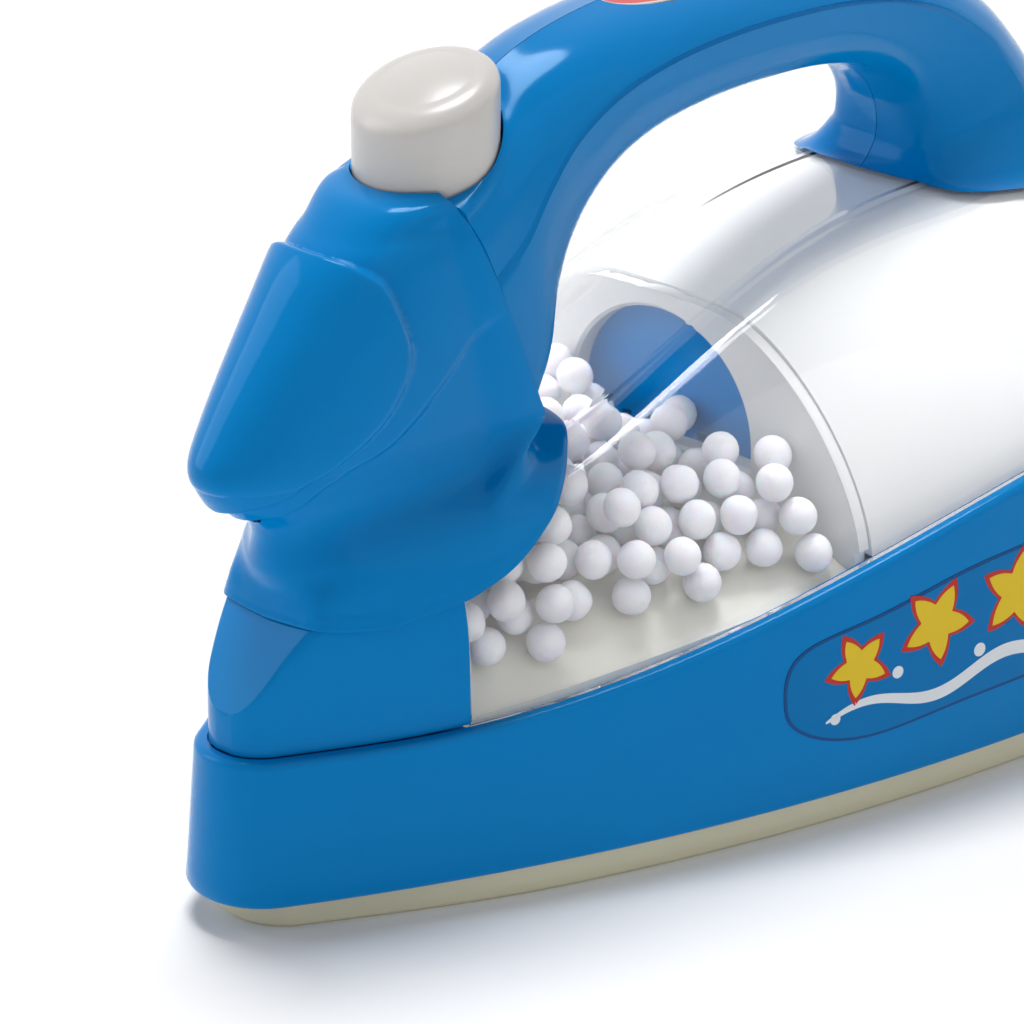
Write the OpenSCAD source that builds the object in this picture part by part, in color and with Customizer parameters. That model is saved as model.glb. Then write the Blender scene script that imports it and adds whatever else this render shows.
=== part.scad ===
// Toy iron with a clear bead tank. Millimetres, nose towards -X, +Z up.
// Inside the modules: x runs from the nose tip, z from the lower edge of the skirt.

/* [Body] */
// overall length, nose tip to heel
body_length = 186; // [170:1:205]
// overall width at the widest station
body_width = 101; // [92:1:112]
// plan radius of the nose tip
nose_radius = 10.5; // [9:0.5:12]
// plan radius of the heel corners
heel_radius = 22; // [18:0.5:24]
// distance from the widest station to the heel
heel_reach = 26; // [25:0.5:28]
// soleplate thickness under the skirt
sole_thickness = 4.5; // [3.5:0.5:6]
// soleplate inset from the skirt edge
sole_inset = 1.4; // [1.2:0.1:1.6]
// extra set-back of the soleplate's nose
sole_back = 3.6; // [2:0.1:5]
// skirt height at the nose
skirt_nose_height = 20.6; // [18:0.2:23]
// skirt height at the heel
skirt_heel_height = 42.6; // [39:0.2:45]
// inward lean of the skirt from foot to rim
skirt_lean = 1.5; // [1:0.1:2]
// skirt wall thickness
skirt_wall = 2.4; // [2:0.1:2.8]
// rounding of the skirt rim
rim_round = 1.1; // [0.8:0.1:1.4]

/* [Tank] */
// height of the tank crest above the skirt foot
dome_height = 68.7; // [64:0.1:71]
// step from the skirt foot outline to the tank outline
dome_inset = 3.5; // [3.3:0.1:3.8]
// tank wall thickness
dome_wall = 1.8; // [1.4:0.1:2.2]
// half width of the flat strip along the top
strip_half = 10.9; // [9:0.1:12]
// height of the raised strip
strip_rise = 0.5; // [0.3:0.1:0.8]
// where the nose block meets the tank, as a share of the length
nose_split_share = 0.1667; // [0.15:0.005:0.18]
// depth of the heel block behind the tank
heel_depth = 24; // [20:0.5:28]
// place of the bulkhead's front face, as a share of the length
bulkhead_share = 0.4731; // [0.45:0.005:0.49]
// bulkhead thickness
bulkhead_wall = 2; // [1.6:0.1:2.4]
// half width of the arch opening
arch_half = 16.3; // [14:0.1:18]
// drop from the tank's crest to the top of the arch opening
arch_drop = 4.2; // [3.6:0.1:8]
// depth of the arch lip
arch_lip = 1.2; // [0.8:0.1:1.8]
// thickness of the arch lip
arch_wall = 1.4; // [1:0.1:1.6]
// height of the bead tray's crown above its edge
tray_crown = 8; // [6:0.2:9]
// bead diameter
bead_d = 5.4; // [4.8:0.1:6]
// number of beads dropped into the tank
bead_count = 168; // [20:1:180]

/* [Handle] */
// top of the handle above the skirt foot
handle_height = 107.3; // [104:0.1:110]
// half width of the grip
grip_half = 12; // [11:0.1:13]
// wall of the handle shells
handle_wall = 2; // [1.6:0.1:2.2]
// half width of the rear foot
foot_half = 21; // [18:0.2:23]
// half width of the flared neck rim
bell_half = 20.3; // [19:0.1:21]
// half width of the head cover
head_half = 13.7; // [13:0.1:14.4]
// wall of the head cover
head_wall = 1.8; // [1.5:0.1:2]

/* [Button] */
// radius of the push button
button_radius = 9.7; // [9:0.1:10]
// place of the button's axis, as a share of the length
button_share = 0.2258; // [0.22:0.001:0.23]
// press travel of the button
button_travel = 3; // [2:0.1:3]
// length of the red badge
badge_length = 24; // [20:0.5:27]
// width of the red badge
badge_width = 12; // [10:0.5:13]

/* [Works] */
// diameter of a battery cell
cell_d = 14.5; // [14:0.1:14.5]
// length of a battery cell
cell_length = 50.5; // [49:0.1:50.5]
// wall of the battery box
box_wall = 1.6; // [1.2:0.1:2]
// diameter of the motor
motor_d = 24; // [22:0.5:25]
// length of the motor
motor_length = 25; // [22:0.5:27]
// diameter of the motor shaft
shaft_d = 2; // [1.6:0.1:2.4]
// diameter of the impeller
impeller_d = 34; // [30:0.5:36]
// diameter of the lead wires
lead_d = 1.6; // [1.2:0.1:2]
// diameter of the screw shanks
screw_d = 2.6; // [2.2:0.1:3]

/* [Hidden] */
$fn = 48;

// clearances and overrun
seat_gap = 0.12;
slide_gap = 0.35;
cut_over = 1;

// stations along the body
nose_split = nose_split_share * body_length;
heel_split = body_length - heel_depth;
bulkhead_at = bulkhead_share * body_length;
button_at = button_share * body_length;

// plan outline made of four tangent arcs
widest_at = body_length - heel_reach;
half_wide = body_width / 2;
flank_angle = 2 * atan((half_wide - nose_radius) / (widest_at - nose_radius));
flank_radius = (widest_at - nose_radius * (1 - sin(flank_angle))) / sin(flank_angle);
transom_radius = (pow(half_wide - heel_radius, 2) + pow(heel_reach, 2) - pow(heel_radius, 2))
    / (2 * (heel_reach - heel_radius));
transom_angle = atan2(half_wide - heel_radius, transom_radius - heel_reach);

function nose_points(d, n) = [for (i = [0:n]) let (a = 180 - (90 - flank_angle) * i / n)
    [nose_radius + (nose_radius - d) * cos(a), (nose_radius - d) * sin(a)]];
function flank_points(d, n) = [for (i = [1:n]) let (a = 90 + flank_angle * (1 - i / n))
    [widest_at + (flank_radius - d) * cos(a), half_wide - flank_radius + (flank_radius - d) * sin(a)]];
function heel_points(d, n) = [for (i = [1:n]) let (a = 90 - (90 - transom_angle) * i / n)
    [widest_at + (heel_radius - d) * cos(a), half_wide - heel_radius + (heel_radius - d) * sin(a)]];
function transom_points(d, n) = [for (i = [1:n]) let (a = transom_angle * (1 - i / n))
    [body_length - transom_radius + (transom_radius - d) * cos(a), (transom_radius - d) * sin(a)]];
function plan_side(d) =
    concat(nose_points(d, 8), flank_points(d, 16), heel_points(d, 6), transom_points(d, 3));
function mirrored(points) = [for (i = [len(points) - 2:-1:1]) [points[i][0], -points[i][1]]];
function plan_ring(d) = let (side = plan_side(d)) concat(side, mirrored(side));

// half width of the plan outline, inset by d, at station x
nose_end_share = 1 - sin(flank_angle);
function plan_half(x, d) =
    x < nose_radius - (nose_radius - d) * (1 - nose_end_share)
        ? sqrt(abs(pow(nose_radius - d, 2) - pow(nose_radius - x, 2)))
    : x < widest_at
        ? half_wide - flank_radius + sqrt(pow(flank_radius - d, 2) - pow(x - widest_at, 2))
    : x < body_length - transom_radius + (transom_radius - d) * cos(transom_angle)
        ? half_wide - heel_radius + sqrt(abs(pow(heel_radius - d, 2) - pow(x - widest_at, 2)))
        : sqrt(abs(pow(transom_radius - d, 2) - pow(x - body_length + transom_radius, 2)));

// smooth curve through a table of keys and values
function slope_at(k, v, i) = let (a = max(i - 1, 0), b = min(i + 1, len(k) - 1))
    (v[b] - v[a]) / (k[b] - k[a]);
function step_of(k, x, i = 0) = i >= len(k) - 2 || x < k[i + 1] ? i : step_of(k, x, i + 1);
function smooth_at(k, v, x) = let (i = step_of(k, x), h = k[i + 1] - k[i], t = (x - k[i]) / h)
    v[i] * (1 + 2 * t) * pow(1 - t, 2) + slope_at(k, v, i) * h * t * pow(1 - t, 2)
    + v[i + 1] * t * t * (3 - 2 * t) + slope_at(k, v, i + 1) * h * t * t * (t - 1);
function eased(t) = t <= 0 ? 0 : t >= 1 ? 1 : t * t * (3 - 2 * t);

// skirt rim height along the body
rim_from_share = 0.1;
rim_to_share = 0.81;
function rim_at(x) = skirt_nose_height + (skirt_heel_height - skirt_nose_height)
    * eased((x / body_length - rim_from_share) / (rim_to_share - rim_from_share));

// crest of the tank, as shares of the body length and of the tank height
crest_x_shares = [0.018, 0.035, 0.057, 0.081, 0.108, 0.167, 0.242, 0.306, 0.387, 0.462, 0.554, 0.634, 0.72,
                  0.806, 0.887, 0.946, 0.984];
crest_z_shares = [0.378, 0.451, 0.524, 0.582, 0.626, 0.67, 0.713, 0.757, 0.83, 0.898, 0.967, 0.996, 1,
                  0.99, 0.946, 0.844, 0.7];
function crest_at(x) = dome_height * smooth_at(crest_x_shares, crest_z_shares, x / body_length);
square_tail = 1.5;
square_nose = 2.6;
square_fade_share = 0.25;
function squareness(x) = square_tail + square_nose * exp(-pow(x / body_length / square_fade_share, 2));
function strip_at(half) = strip_half * half / sqrt(half * half + strip_half * strip_half);

// tank section at station x: points from the foot to the crest, thinned by t inside the wall
rib_count = 9;
function tank_rib(x, t) =
    let (half = plan_half(x, dome_inset + t), flat = strip_at(half), low = rim_at(x) + seat_gap,
         top = crest_at(x) - t, n = squareness(x))
    concat(
        [for (j = [0:rib_count]) let (q = 90 * j / rib_count)
            [flat + (half - flat) * pow(cos(q), 2 / n), low + (top - low) * pow(sin(q), 2 / n)]],
        [[flat - strip_rise * flat / strip_half, top + strip_rise], [flat / 2, top + strip_rise]]);
// tank height at a place x, y
function tank_at(x, y) =
    let (half = plan_half(x, dome_inset), flat = strip_at(half), low = rim_at(x) + seat_gap,
         top = crest_at(x), u = (abs(y) - flat) / (half - flat), n = squareness(x))
    u <= 0 ? top + strip_rise : u >= 1 ? low : low + (top - low) * pow(1 - pow(u, n), 1 / n);

function both_sides(rib) = concat([for (p = rib) [-p[0], p[1]]], [for (i = [len(rib) - 1:-1:0]) rib[i]]);
function backwards(list) = [for (i = [len(list) - 1:-1:0]) list[i]];
function at_station(x, loop) = [for (p = loop) [x, p[0], p[1]]];

// skin over a row of closed loops of points, with flat ends; a thin loop runs out and back along a wall
module loft(loops, thin = false) {
    m = len(loops[0]);
    n = len(loops);
    points = [for (loop = loops) for (p = loop) p];
    walls = [for (i = [0:n - 2]) for (j = [0:m - 1])
        let (a = i * m + j, b = i * m + (j + 1) % m, c = a + m, d = b + m)
        for (f = [[a, b, d], [a, d, c]]) f];
    cap = thin
        ? [for (j = [0:m / 2 - 2]) for (f = [[j, j + 1, m - 2 - j], [j, m - 2 - j, m - 1 - j]]) f]
        : [[for (j = [0:m - 1]) j]];
    first = [for (f = cap) backwards(f)];
    last = [for (f = cap) [for (j = f) (n - 1) * m + j]];
    polyhedron(points = points, faces = concat(walls, first, last), convexity = 8);
}

// skin over a ring of closed profiles
module ring_loft(loops) {
    m = len(loops[0]);
    n = len(loops);
    points = [for (loop = loops) for (p = loop) p];
    walls = [for (i = [0:n - 1]) for (j = [0:m - 1])
        let (k = (i + 1) % n, a = i * m + j, b = i * m + (j + 1) % m, c = k * m + j, d = k * m + (j + 1) % m)
        for (f = [[a, b, d], [a, d, c]]) f];
    polyhedron(points = points, faces = walls, convexity = 8);
}

module frame() translate([-body_length / 2, 0, sole_thickness]) children();
module along_x(x, y, z, d, h) translate([x, y, z]) rotate([0, 90, 0]) cylinder(d = d, h = h);
module along_y(x, y, z, d, h) translate([x, y, z]) rotate([-90, 0, 0]) cylinder(d = d, h = h);
module block(x0, x1, half, z0, z1) translate([x0, -half, z0]) cube([x1 - x0, 2 * half, z1 - z0]);

// soleplate outline, set back towards its nose
sole_run = 45;
function sole_ring() = [for (p = plan_ring(sole_inset))
    [p[0] + sole_back * (1 - eased(p[0] / sole_run)), p[1]]];

// small sizes of the tank and what it holds
rim_soft_share = 0.3;
tip_trim = 0.15;
lead_pass = 4;
lead_pass_back = 8;
liner_wall = 1.6;
ledge_lip = 0.8;
skirt_mouth = dome_inset + dome_wall + ledge_lip;
tray_drop = 0.4;
tray_slope_share = 0.155;
tray_wall = 1.6;
crown_share = 0.45;
sill_rise = 2.9;
panel_wall = 2;
slot_width = 2;
slot_height = 1;
slot_lift = 0.2;
slot_shares = [-0.6, -0.3, 0, 0.3, 0.6];
bead_air = 0.08;
tray_air = 0.35;
wall_share = 1.16;
front_share = 0.02;
tries_each = 30;
spread_x_share = 0.7548776662;
spread_y_share = 0.569840291;
lone_bead_y = -3;
lone_bead_rise = 1.6;

// small sizes of the head, handle and button
head_count = 48;
rim_lift = 0.3;
rim_clear = 0.9;
bell_round = 0.35;
seam_gap = 0.06;
handle_boss_d = 6;
handle_screw_reach = 6;
handle_head_at = 5.5;
badge_sink = 1.9;
badge_thick = 0.6;
button_tilt = 17;
button_wall = 1.8;
button_roof = 6;
bore_spare = 3;
switch_long = 5.6;
switch_half = 4.5;
switch_high = 6.5;
switch_back = 7;
shelf_half = 12;
shelf_long = 4.4;
shelf_thick = 1.6;
stem_radius = 1.8;
stem_back = 6.2;
stem_spare = 0.5;
plunger_radius = 1.2;
plunger_in = 1.5;
spring_length = 8.5;
spring_seat = 3.4;
spring_wire = 0.35;
spring_radius = 2.9;
spring_turns = 4;
spring_pitch = (spring_length - 2 * seat_gap - 2 * spring_wire) / spring_turns;
switch_lift_share = 0.643;
button_top_share = 0.9478;
switch_at = button_at + switch_back;
switch_low = switch_lift_share * handle_height;
switch_top = switch_low + switch_high;
stem_at = button_at + stem_back;
stem_foot = switch_top + button_travel + stem_spare;
plunger_foot = switch_top - plunger_in;
spring_top = switch_top + spring_length;
button_foot = spring_top;
button_top = button_top_share * handle_height;
bore_floor = button_foot - button_travel - bore_spare;

// small sizes of the works
motor_lift = 12.9;
shaft_depth = 9;
bracket_share = 0.5;
impeller_air = 2.6;
motor_air = 3;
impeller_deep = 7;
hub_d = 7;
blade_thick = 1.2;
blade_count = 6;
contact_thick = 0.8;
contact_wide = 10;
contact_tip = 6;
lead_side = 2.2;
lead_air = 1.2;

// base fasteners: places beside the skirt wall
base_screw_x_shares = [0.2, 0.62, 0.9];
boss_d = 7;
boss_height = 14;
boss_inset = skirt_wall + boss_d / 2 - skirt_lean / 2;
base_screw_places = [for (k = base_screw_x_shares) for (side = [-1, 1])
    [k * body_length, side * (plan_half(k * body_length, boss_inset))]];
screw_head_d = 2 * screw_d;
screw_head_height = 1.8;
screw_reach = 10;

// battery bay
bay_end = 4.5;
bay_back = 25.5;
bay_to = body_length - bay_back;
bay_from = bay_to - cell_length - 2 * bay_end;
cell_gap = 0.5;
bay_half = cell_d + cell_gap;
bay_top = cell_d + 2 * cell_gap;
door_lap = 1.5;
door_thick = 2.4;
door_tail = 9;
door_screw_at = bay_to + box_wall + door_tail / 2;

module soleplate() color("#E6E2C4") frame() difference() {
    translate([0, 0, -sole_thickness]) linear_extrude(sole_thickness) polygon(sole_ring());
    block(bay_from, bay_to, bay_half, -sole_thickness - cut_over, cut_over);
    block(bay_from - door_lap, bay_to + box_wall + door_tail, bay_half + door_lap,
        -sole_thickness - cut_over, door_thick + seat_gap - sole_thickness);
    translate([door_screw_at, 0, -sole_thickness]) cylinder(d = screw_d, h = sole_thickness + cut_over);
    for (p = base_screw_places) translate([p[0], p[1], -sole_thickness - cut_over]) {
        cylinder(d = screw_d + slide_gap, h = sole_thickness + 2 * cut_over);
        cylinder(d = screw_head_d + 2 * slide_gap, h = screw_head_height + slide_gap + cut_over);
    }
}

module battery_door() color("#DED9B8") frame() difference() {
    block(bay_from - door_lap + slide_gap, bay_to + box_wall + door_tail - slide_gap,
        bay_half + door_lap - slide_gap, -sole_thickness, door_thick - sole_thickness);
    translate([door_screw_at, 0, -sole_thickness - cut_over]) {
        cylinder(d = screw_d + slide_gap, h = door_thick + 2 * cut_over);
        cylinder(d = screw_head_d + slide_gap, h = screw_head_height / 2 + cut_over);
    }
}

module screw(reach, head) {
    cylinder(d = screw_head_d, h = head);
    translate([0, 0, head]) cylinder(d = screw_d - slide_gap, h = reach);
}

module door_screw() color("silver") frame()
    translate([door_screw_at, 0, -sole_thickness])
        screw(sole_thickness - screw_head_height / 2, screw_head_height / 2 - seat_gap);

module base_screws() color("silver") frame() for (p = base_screw_places)
    translate([p[0], p[1], slide_gap - sole_thickness]) screw(screw_reach, screw_head_height - seat_gap);

module base_skirt() color("#0A72B8") frame() {
    soft = rim_round * rim_soft_share;
    outer = [plan_ring(rim_round / 2), plan_ring(0), plan_ring(skirt_lean), plan_ring(skirt_lean + soft),
             plan_ring(skirt_lean + rim_round), plan_ring(skirt_mouth), plan_ring(skirt_wall)];
    drop = [0, 0, rim_round, soft, 0, 0, 0];
    loops = [for (i = [0:len(outer[0]) - 1])
        let (top = rim_at(outer[1][i][0]))
        [for (k = [0:6]) [outer[k][i][0], outer[k][i][1],
            k == 0 || k == 6 ? 0 : k == 1 ? rim_round / 2 : top - drop[k]]]];
    difference() {
        union() {
            ring_loft([for (loop = loops) backwards(loop)]);
            for (p = base_screw_places) translate([p[0], p[1], 0]) cylinder(d = boss_d, h = boss_height);
        }
        for (p = base_screw_places) translate([p[0], p[1], -cut_over])
            cylinder(d = screw_d, h = screw_reach + cut_over);
    }
}

module nose_block() color("#0A72B8") frame() {
    from = dome_inset + tip_trim;
    reach = nose_split - seat_gap - from;
    loft([for (i = [0:10]) let (x = from + reach * (1 - cos(9 * i)))
        at_station(x, both_sides(tank_rib(x, 0)))]);
}

module heel_block() color("#0A72B8") frame() {
    from = heel_split + seat_gap;
    reach = body_length - dome_inset - tip_trim - from;
    loft([for (i = [0:8]) let (x = from + reach * sin(11.25 * i))
        at_station(x, both_sides(tank_rib(x, 0)))]);
}

function shell_loop(x, outer, inner) =
    at_station(x, concat(both_sides(tank_rib(x, outer)), backwards(both_sides(tank_rib(x, inner)))));

module tank_dome() color("#C8D0D8", 0.35) frame() difference() {
    loft([for (i = [0:24]) let (x = nose_split + (heel_split - nose_split) * i / 24)
        shell_loop(x, 0, dome_wall)], thin = true);
    translate([lead_pass_at, 0, skirt_heel_height]) cylinder(r = lead_pass, h = dome_height);
}

module inner_cover() color("#EFEEE8") frame() difference() {
    from = bulkhead_at + bulkhead_wall + seat_gap;
    reach = heel_split - from;
    outer = dome_wall + seat_gap;
    loft([for (i = [0:10]) let (x = from + reach * i / 10)
        shell_loop(x, outer, outer + liner_wall)], thin = true);
    translate([lead_pass_at, 0, skirt_heel_height]) cylinder(r = lead_pass, h = dome_height);
}

// bead tray: edge along the skirt opening and a raised crown
function tray_half(x) = plan_half(x, skirt_mouth + seat_gap);
function tray_edge(x) = rim_at(nose_split) - tray_drop + (x - nose_split) * tray_slope_share;
function tray_at(x, y) = let (e = tray_half(x), c = e * crown_share)
    tray_edge(x) + tray_crown * (abs(y) < c ? 1 : (e - abs(y)) / (e - c));

module bead_tray() color("#E6E2C4") frame() {
    from = nose_split + seat_gap;
    reach = bulkhead_at - seat_gap - from;
    loft([for (i = [0:10])
        let (x = from + reach * i / 10, e = tray_half(x), c = e * crown_share, low = tray_edge(x),
             top = low + tray_crown)
        at_station(x, [[-e, low], [-c, top], [c, top], [e, low], [e, low - tray_wall],
                       [c, top - tray_wall], [-c, top - tray_wall], [-e, low - tray_wall]])]);
}

// arch opening of the bulkhead, grown by g
arch_sill = tray_edge(bulkhead_at) + tray_crown + tray_wall;
arch_spring = arch_sill + sill_rise;
arch_top = crest_at(bulkhead_at) - arch_drop;
function arch_points(g) = concat([[-arch_half - g, arch_sill - g], [arch_half + g, arch_sill - g]],
    [for (i = [0:20]) let (a = 9 * i)
        [(arch_half + g) * cos(a), arch_spring + (arch_top + g - arch_spring) * sin(a)]]);
module across(x, depth) translate([x, 0, 0]) rotate([90, 0, 90]) linear_extrude(depth) children();

module bulkhead() color("#EFEEE8") frame() {
    rib = tank_rib(bulkhead_at, dome_wall + seat_gap);
    ledge = rim_at(bulkhead_at + bulkhead_wall) + seat_gap;
    foot = [[tray_half(bulkhead_at), tray_edge(bulkhead_at) - tray_wall], [tray_half(bulkhead_at), ledge],
            [rib[0][0], ledge]];
    across(bulkhead_at, bulkhead_wall) difference() {
        polygon(both_sides(concat(foot, [for (i = [1:len(rib) - 1]) rib[i]])));
        polygon(arch_points(0));
    }
    across(bulkhead_at + bulkhead_wall, arch_lip) difference() {
        polygon(arch_points(arch_wall));
        polygon(arch_points(0));
    }
}

panel_at = bulkhead_at + bulkhead_wall + arch_lip;
module blower_panel() color("#1F7FC4") frame() difference() {
    across(panel_at, panel_wall) polygon(arch_points(arch_wall));
    for (k = slot_shares)
        translate([panel_at - cut_over, k * arch_half - slot_width / 2, arch_sill + slot_lift])
            cube([panel_wall + 2 * cut_over, slot_width, slot_height]);
}

// loose beads, dropped one by one where they come to lie lowest
bead_r = bead_d / 2;
bead_step = bead_d + bead_air;
function inner_half(x, z) =
    let (half = plan_half(x, dome_inset + dome_wall), flat = strip_at(half), low = rim_at(x),
         v = (z - low) / (crest_at(x) - dome_wall - low), n = squareness(x))
    v <= 0 ? half : v >= 1 ? 0 : flat + (half - flat) * pow(1 - pow(v, n), 1 / n);
function part_of_one(k) = k - floor(k);
// height of a bead's middle above the tray, more where the tray slopes
function tray_rest(x, y) = let (e = tray_half(x), c = e * crown_share)
    tray_air + bead_r * (abs(y) < c ? 1 : sqrt(1 + pow(tray_crown / (e - c), 2)));
function landing(x, y, pile) = max(concat([tray_at(x, y) + tray_rest(x, y)],
    [for (b = pile) let (near = pow(b[0] - x, 2) + pow(b[1] - y, 2)) if (near < bead_step * bead_step)
        b[2] + sqrt(bead_step * bead_step - near)]));
bead_reach = bead_r * wall_share;
function fits(x, y, z) = abs(y) <= min([for (a = [0:15:90])
    inner_half(x, z + bead_reach * sin(a)) - bead_reach * cos(a)]);
function try_bead(i, pile) =
    let (from = nose_split + bead_r + bead_air, to = bulkhead_at - bead_r - bead_air,
         x = from + (to - from) * part_of_one(spread_x_share * (i + 1)),
         y = tray_half(x) * (2 * part_of_one(spread_y_share * (i + 1)) - 1), z = landing(x, y, pile))
    [x, y, z, fits(x, y, z) ? z + x * front_share : body_length];
function lowest(tries, best = 0, i = 1) = i >= len(tries) ? tries[best]
    : lowest(tries, tries[i][3] < tries[best][3] ? i : best, i + 1);
function next_bead(k, pile) = lowest([for (i = [0:tries_each - 1]) try_bead(k * tries_each + i, pile)]);
function heap(count, pile = [], k = 0) = k >= count ? pile
    : let (b = next_bead(k, pile)) heap(count, b[3] < body_length ? concat(pile, [b]) : pile, k + 1);

module foam_beads() color("#F2F2F6") frame() {
    for (b = heap(bead_count)) translate([b[0], b[1], b[2]]) sphere(d = bead_d);
    translate([panel_at - bead_r - seat_gap, lone_bead_y, arch_spring + lone_bead_rise]) sphere(d = bead_d);
}

// head cover: rings from the flared rim up to the crown
rim_turns = [0, 10, 19, 25, 39, 50, 63, 75, 93, 113, 126, 142, 157, 180];
rim_x_shares = [0.0613, 0.0624, 0.067, 0.0815, 0.1125, 0.1331, 0.1542, 0.1744, 0.2074, 0.2451, 0.2678, 0.2946,
                0.316, 0.3258];
rim_y_shares = [0, 0.2186, 0.4289, 0.5238, 0.6816, 0.766, 0.8502, 0.9152, 0.9753, 0.9454, 0.8493, 0.6612,
                0.4394, 0];
rim_z_shares = [0.54, 0.5429, 0.5444, 0.5371, 0.5328, 0.5429, 0.5546, 0.5706, 0.6099, 0.6696, 0.706, 0.7438,
                0.7715, 0.7831];
rim_mid_share = 0.2016;
head_front_shares = [0.058, 0.047, 0.0225, 0.007, 0.0038, 0.0194, 0.043, 0.0683, 0.0946, 0.118, 0.146, 0.178];
head_mid_shares = [0.215, 0.242, 0.263];
head_back_shares = [0.081, 0.038, 0.0134];
head_blend_shares = [0, 0.07, 0.3, 0.55, 0.78];
head_half_shares = [0.956, 0.97, 0.99, 1, 0.99, 0.95, 0.88, 0.775, 0.6];
bell_half_shares = [0.8, 0.7, 0.665];
head_lift_shares = [0.5405, 0.5685, 0.615, 0.671, 0.727, 0.783, 0.815, 0.838, 0.8527];
seam_foot_share = 0.273;
seam_lean_share = 0.44;
head_low = head_lift_shares[0] * handle_height;
function seam_at(z) = seam_foot_share * body_length - (z - head_low) * seam_lean_share;
prow_squares = [2, 2.05, 2.1, 2.2];
function head_spot(k, a, front, mid, half, back) =
    let (c = cos(a), s = sin(a), p = 2 / prow_squares[min(k - 2, len(prow_squares) - 1)])
    c > 0 ? [mid - (mid - front) * pow(c, p), half * sign(s) * pow(abs(s), p)] : [mid - back * c, half * s];
// the flared rim lies on the tank: its turns are told from the nose
function half_turn(a) = min(a, 360 - a);
function rim_spot(a, t) =
    let (p = [body_length * smooth_at(rim_turns, rim_x_shares, half_turn(a)),
              sign(180 - a) * bell_half * smooth_at(rim_turns, rim_y_shares, half_turn(a))],
         inward = [rim_mid_share * body_length, 0] - p)
    p + inward * t / norm(inward);
function rim_height(a, p) = max(dome_height * smooth_at(rim_turns, rim_z_shares, half_turn(a)),
    abs(p[1]) < plan_half(p[0], dome_inset) ? tank_at(p[0], p[1]) : 0) + rim_lift;
function head_ring(k, t, z) =
    let (low = k < 5, back = low ? head_back_shares[k - 2] * body_length : 0,
         mid = low ? head_mid_shares[k - 2] * body_length : seam_at(z),
         half = low ? bell_half_shares[k - 2] * bell_half : head_half_shares[k - 5] * head_half,
         front = head_front_shares[k - 2] * body_length + t,
         inner_mid = back > t ? mid : mid - t + back, inner_back = back > t ? back - t : 0)
    [for (i = [0:head_count - 1]) head_spot(k, 360 * i / head_count, front, inner_mid, half - t, inner_back)];
function rim_ring(k, t) = [for (i = [0:head_count - 1]) rim_spot(360 * i / head_count, t + k * bell_round)];
function lift_of(k) = head_lift_shares[k - 5] * handle_height;
function head_level(k, t) =
    let (z = k < 5 ? head_low : lift_of(k), ring = k < 2 ? rim_ring(k, t) : head_ring(k, t, z))
    [for (i = [0:head_count - 1]) let (p = ring[i]) [p[0], p[1], k < 5
        ? (rim_height(360 * i / head_count, p) + (t > 0 ? rim_clear : 0)) * (1 - head_blend_shares[k])
            + head_low * head_blend_shares[k]
        : z]];

module shell_loft(outer, inner) {
    m = len(outer[0]);
    n = len(outer);
    k = len(inner);
    points = [for (loop = concat(outer, inner)) for (p = loop) p];
    function wall(first, count) = [for (i = [0:count - 2]) for (j = [0:m - 1])
        let (a = (first + i) * m + j, b = (first + i) * m + (j + 1) % m)
        for (f = [[a, b, b + m], [a, b + m, a + m]]) f];
    outside = wall(0, n);
    inside = [for (f = wall(n, k)) [f[2], f[1], f[0]]];
    lip = [for (j = [0:m - 1]) let (a = j, b = (j + 1) % m, c = n * m + j, d = n * m + (j + 1) % m)
        for (f = [[b, a, c], [b, c, d]]) f];
    top = [[for (j = [0:m - 1]) (n - 1) * m + j]];
    roof = [[for (j = [m - 1:-1:0]) (n + k - 1) * m + j]];
    polyhedron(points = points, faces = concat(outside, inside, lip, top, roof), convexity = 10);
}

module button_bore() translate([button_at, 0, bore_floor])
    cylinder(r = button_radius + slide_gap, h = handle_height);

module head_cover() color("#0A72B8") frame() difference() {
    shell_loft([for (k = [0:13]) head_level(k, 0)],
        [for (k = [0:12]) let (ring = head_level(k, head_wall))
            [for (p = ring) [p[0], p[1], k == 12 ? p[2] - head_wall : p[2]]]]);
    button_bore();
}

// handle: a closed section carried from the seam over the grip to the rear foot
under_x_shares = [0.2737, 0.294, 0.308, 0.334, 0.369, 0.414, 0.473, 0.5376, 0.602, 0.656, 0.696, 0.717, 0.722,
                  0.717, 0.7];
under_z_shares = [0.5387, 0.596, 0.668, 0.736, 0.793, 0.8257, 0.8406, 0.8425, 0.835, 0.8145, 0.779, 0.735,
                  0.694, 0.666, 0.646];
over_x_shares = [0.1941, 0.2312, 0.2688, 0.3038, 0.3495, 0.4086, 0.4731, 0.543, 0.6129, 0.6828, 0.7473, 0.806,
                 0.846, 0.882, 0.925];
over_z_shares = [0.8527, 0.8807, 0.9254, 0.96, 0.9823, 0.9953, 1, 0.9972, 0.987, 0.9637, 0.9245, 0.865, 0.8,
                 0.718, 0.578];
grip_half_shares = [1.13, 1.1, 1.05, 1.01, 1, 0.985, 0.98, 0.98, 0.985, 0.99, 1, 1.03, 1.09, 1.22];
section_up_shares = [0, 0.015, 0.06, 0.16, 0.34, 0.52, 0.64, 0.7, 0.8, 0.89, 0.955, 1];
section_out_shares = [0, 0.42, 0.66, 0.8, 0.9, 0.965, 1, 0.955, 0.83, 0.63, 0.36, 0];
// fuller section beside the head, fading out along the handle
seam_out_shares = [0, 0.7, 0.88, 0.95, 0.98, 1, 1, 0.99, 0.97, 0.885, 0.79, 0];
seam_fade = 3.5;
function section_out(i, t) = section_out_shares[i]
    + (seam_out_shares[i] - section_out_shares[i]) * (1 - eased(t / seam_fade));
foot_key = len(grip_half_shares) - 1;
arch_keys = [for (i = [0:foot_key + 1]) i];
handle_half_sizes = concat([for (k = grip_half_shares) k * grip_half], [foot_half]);
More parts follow.
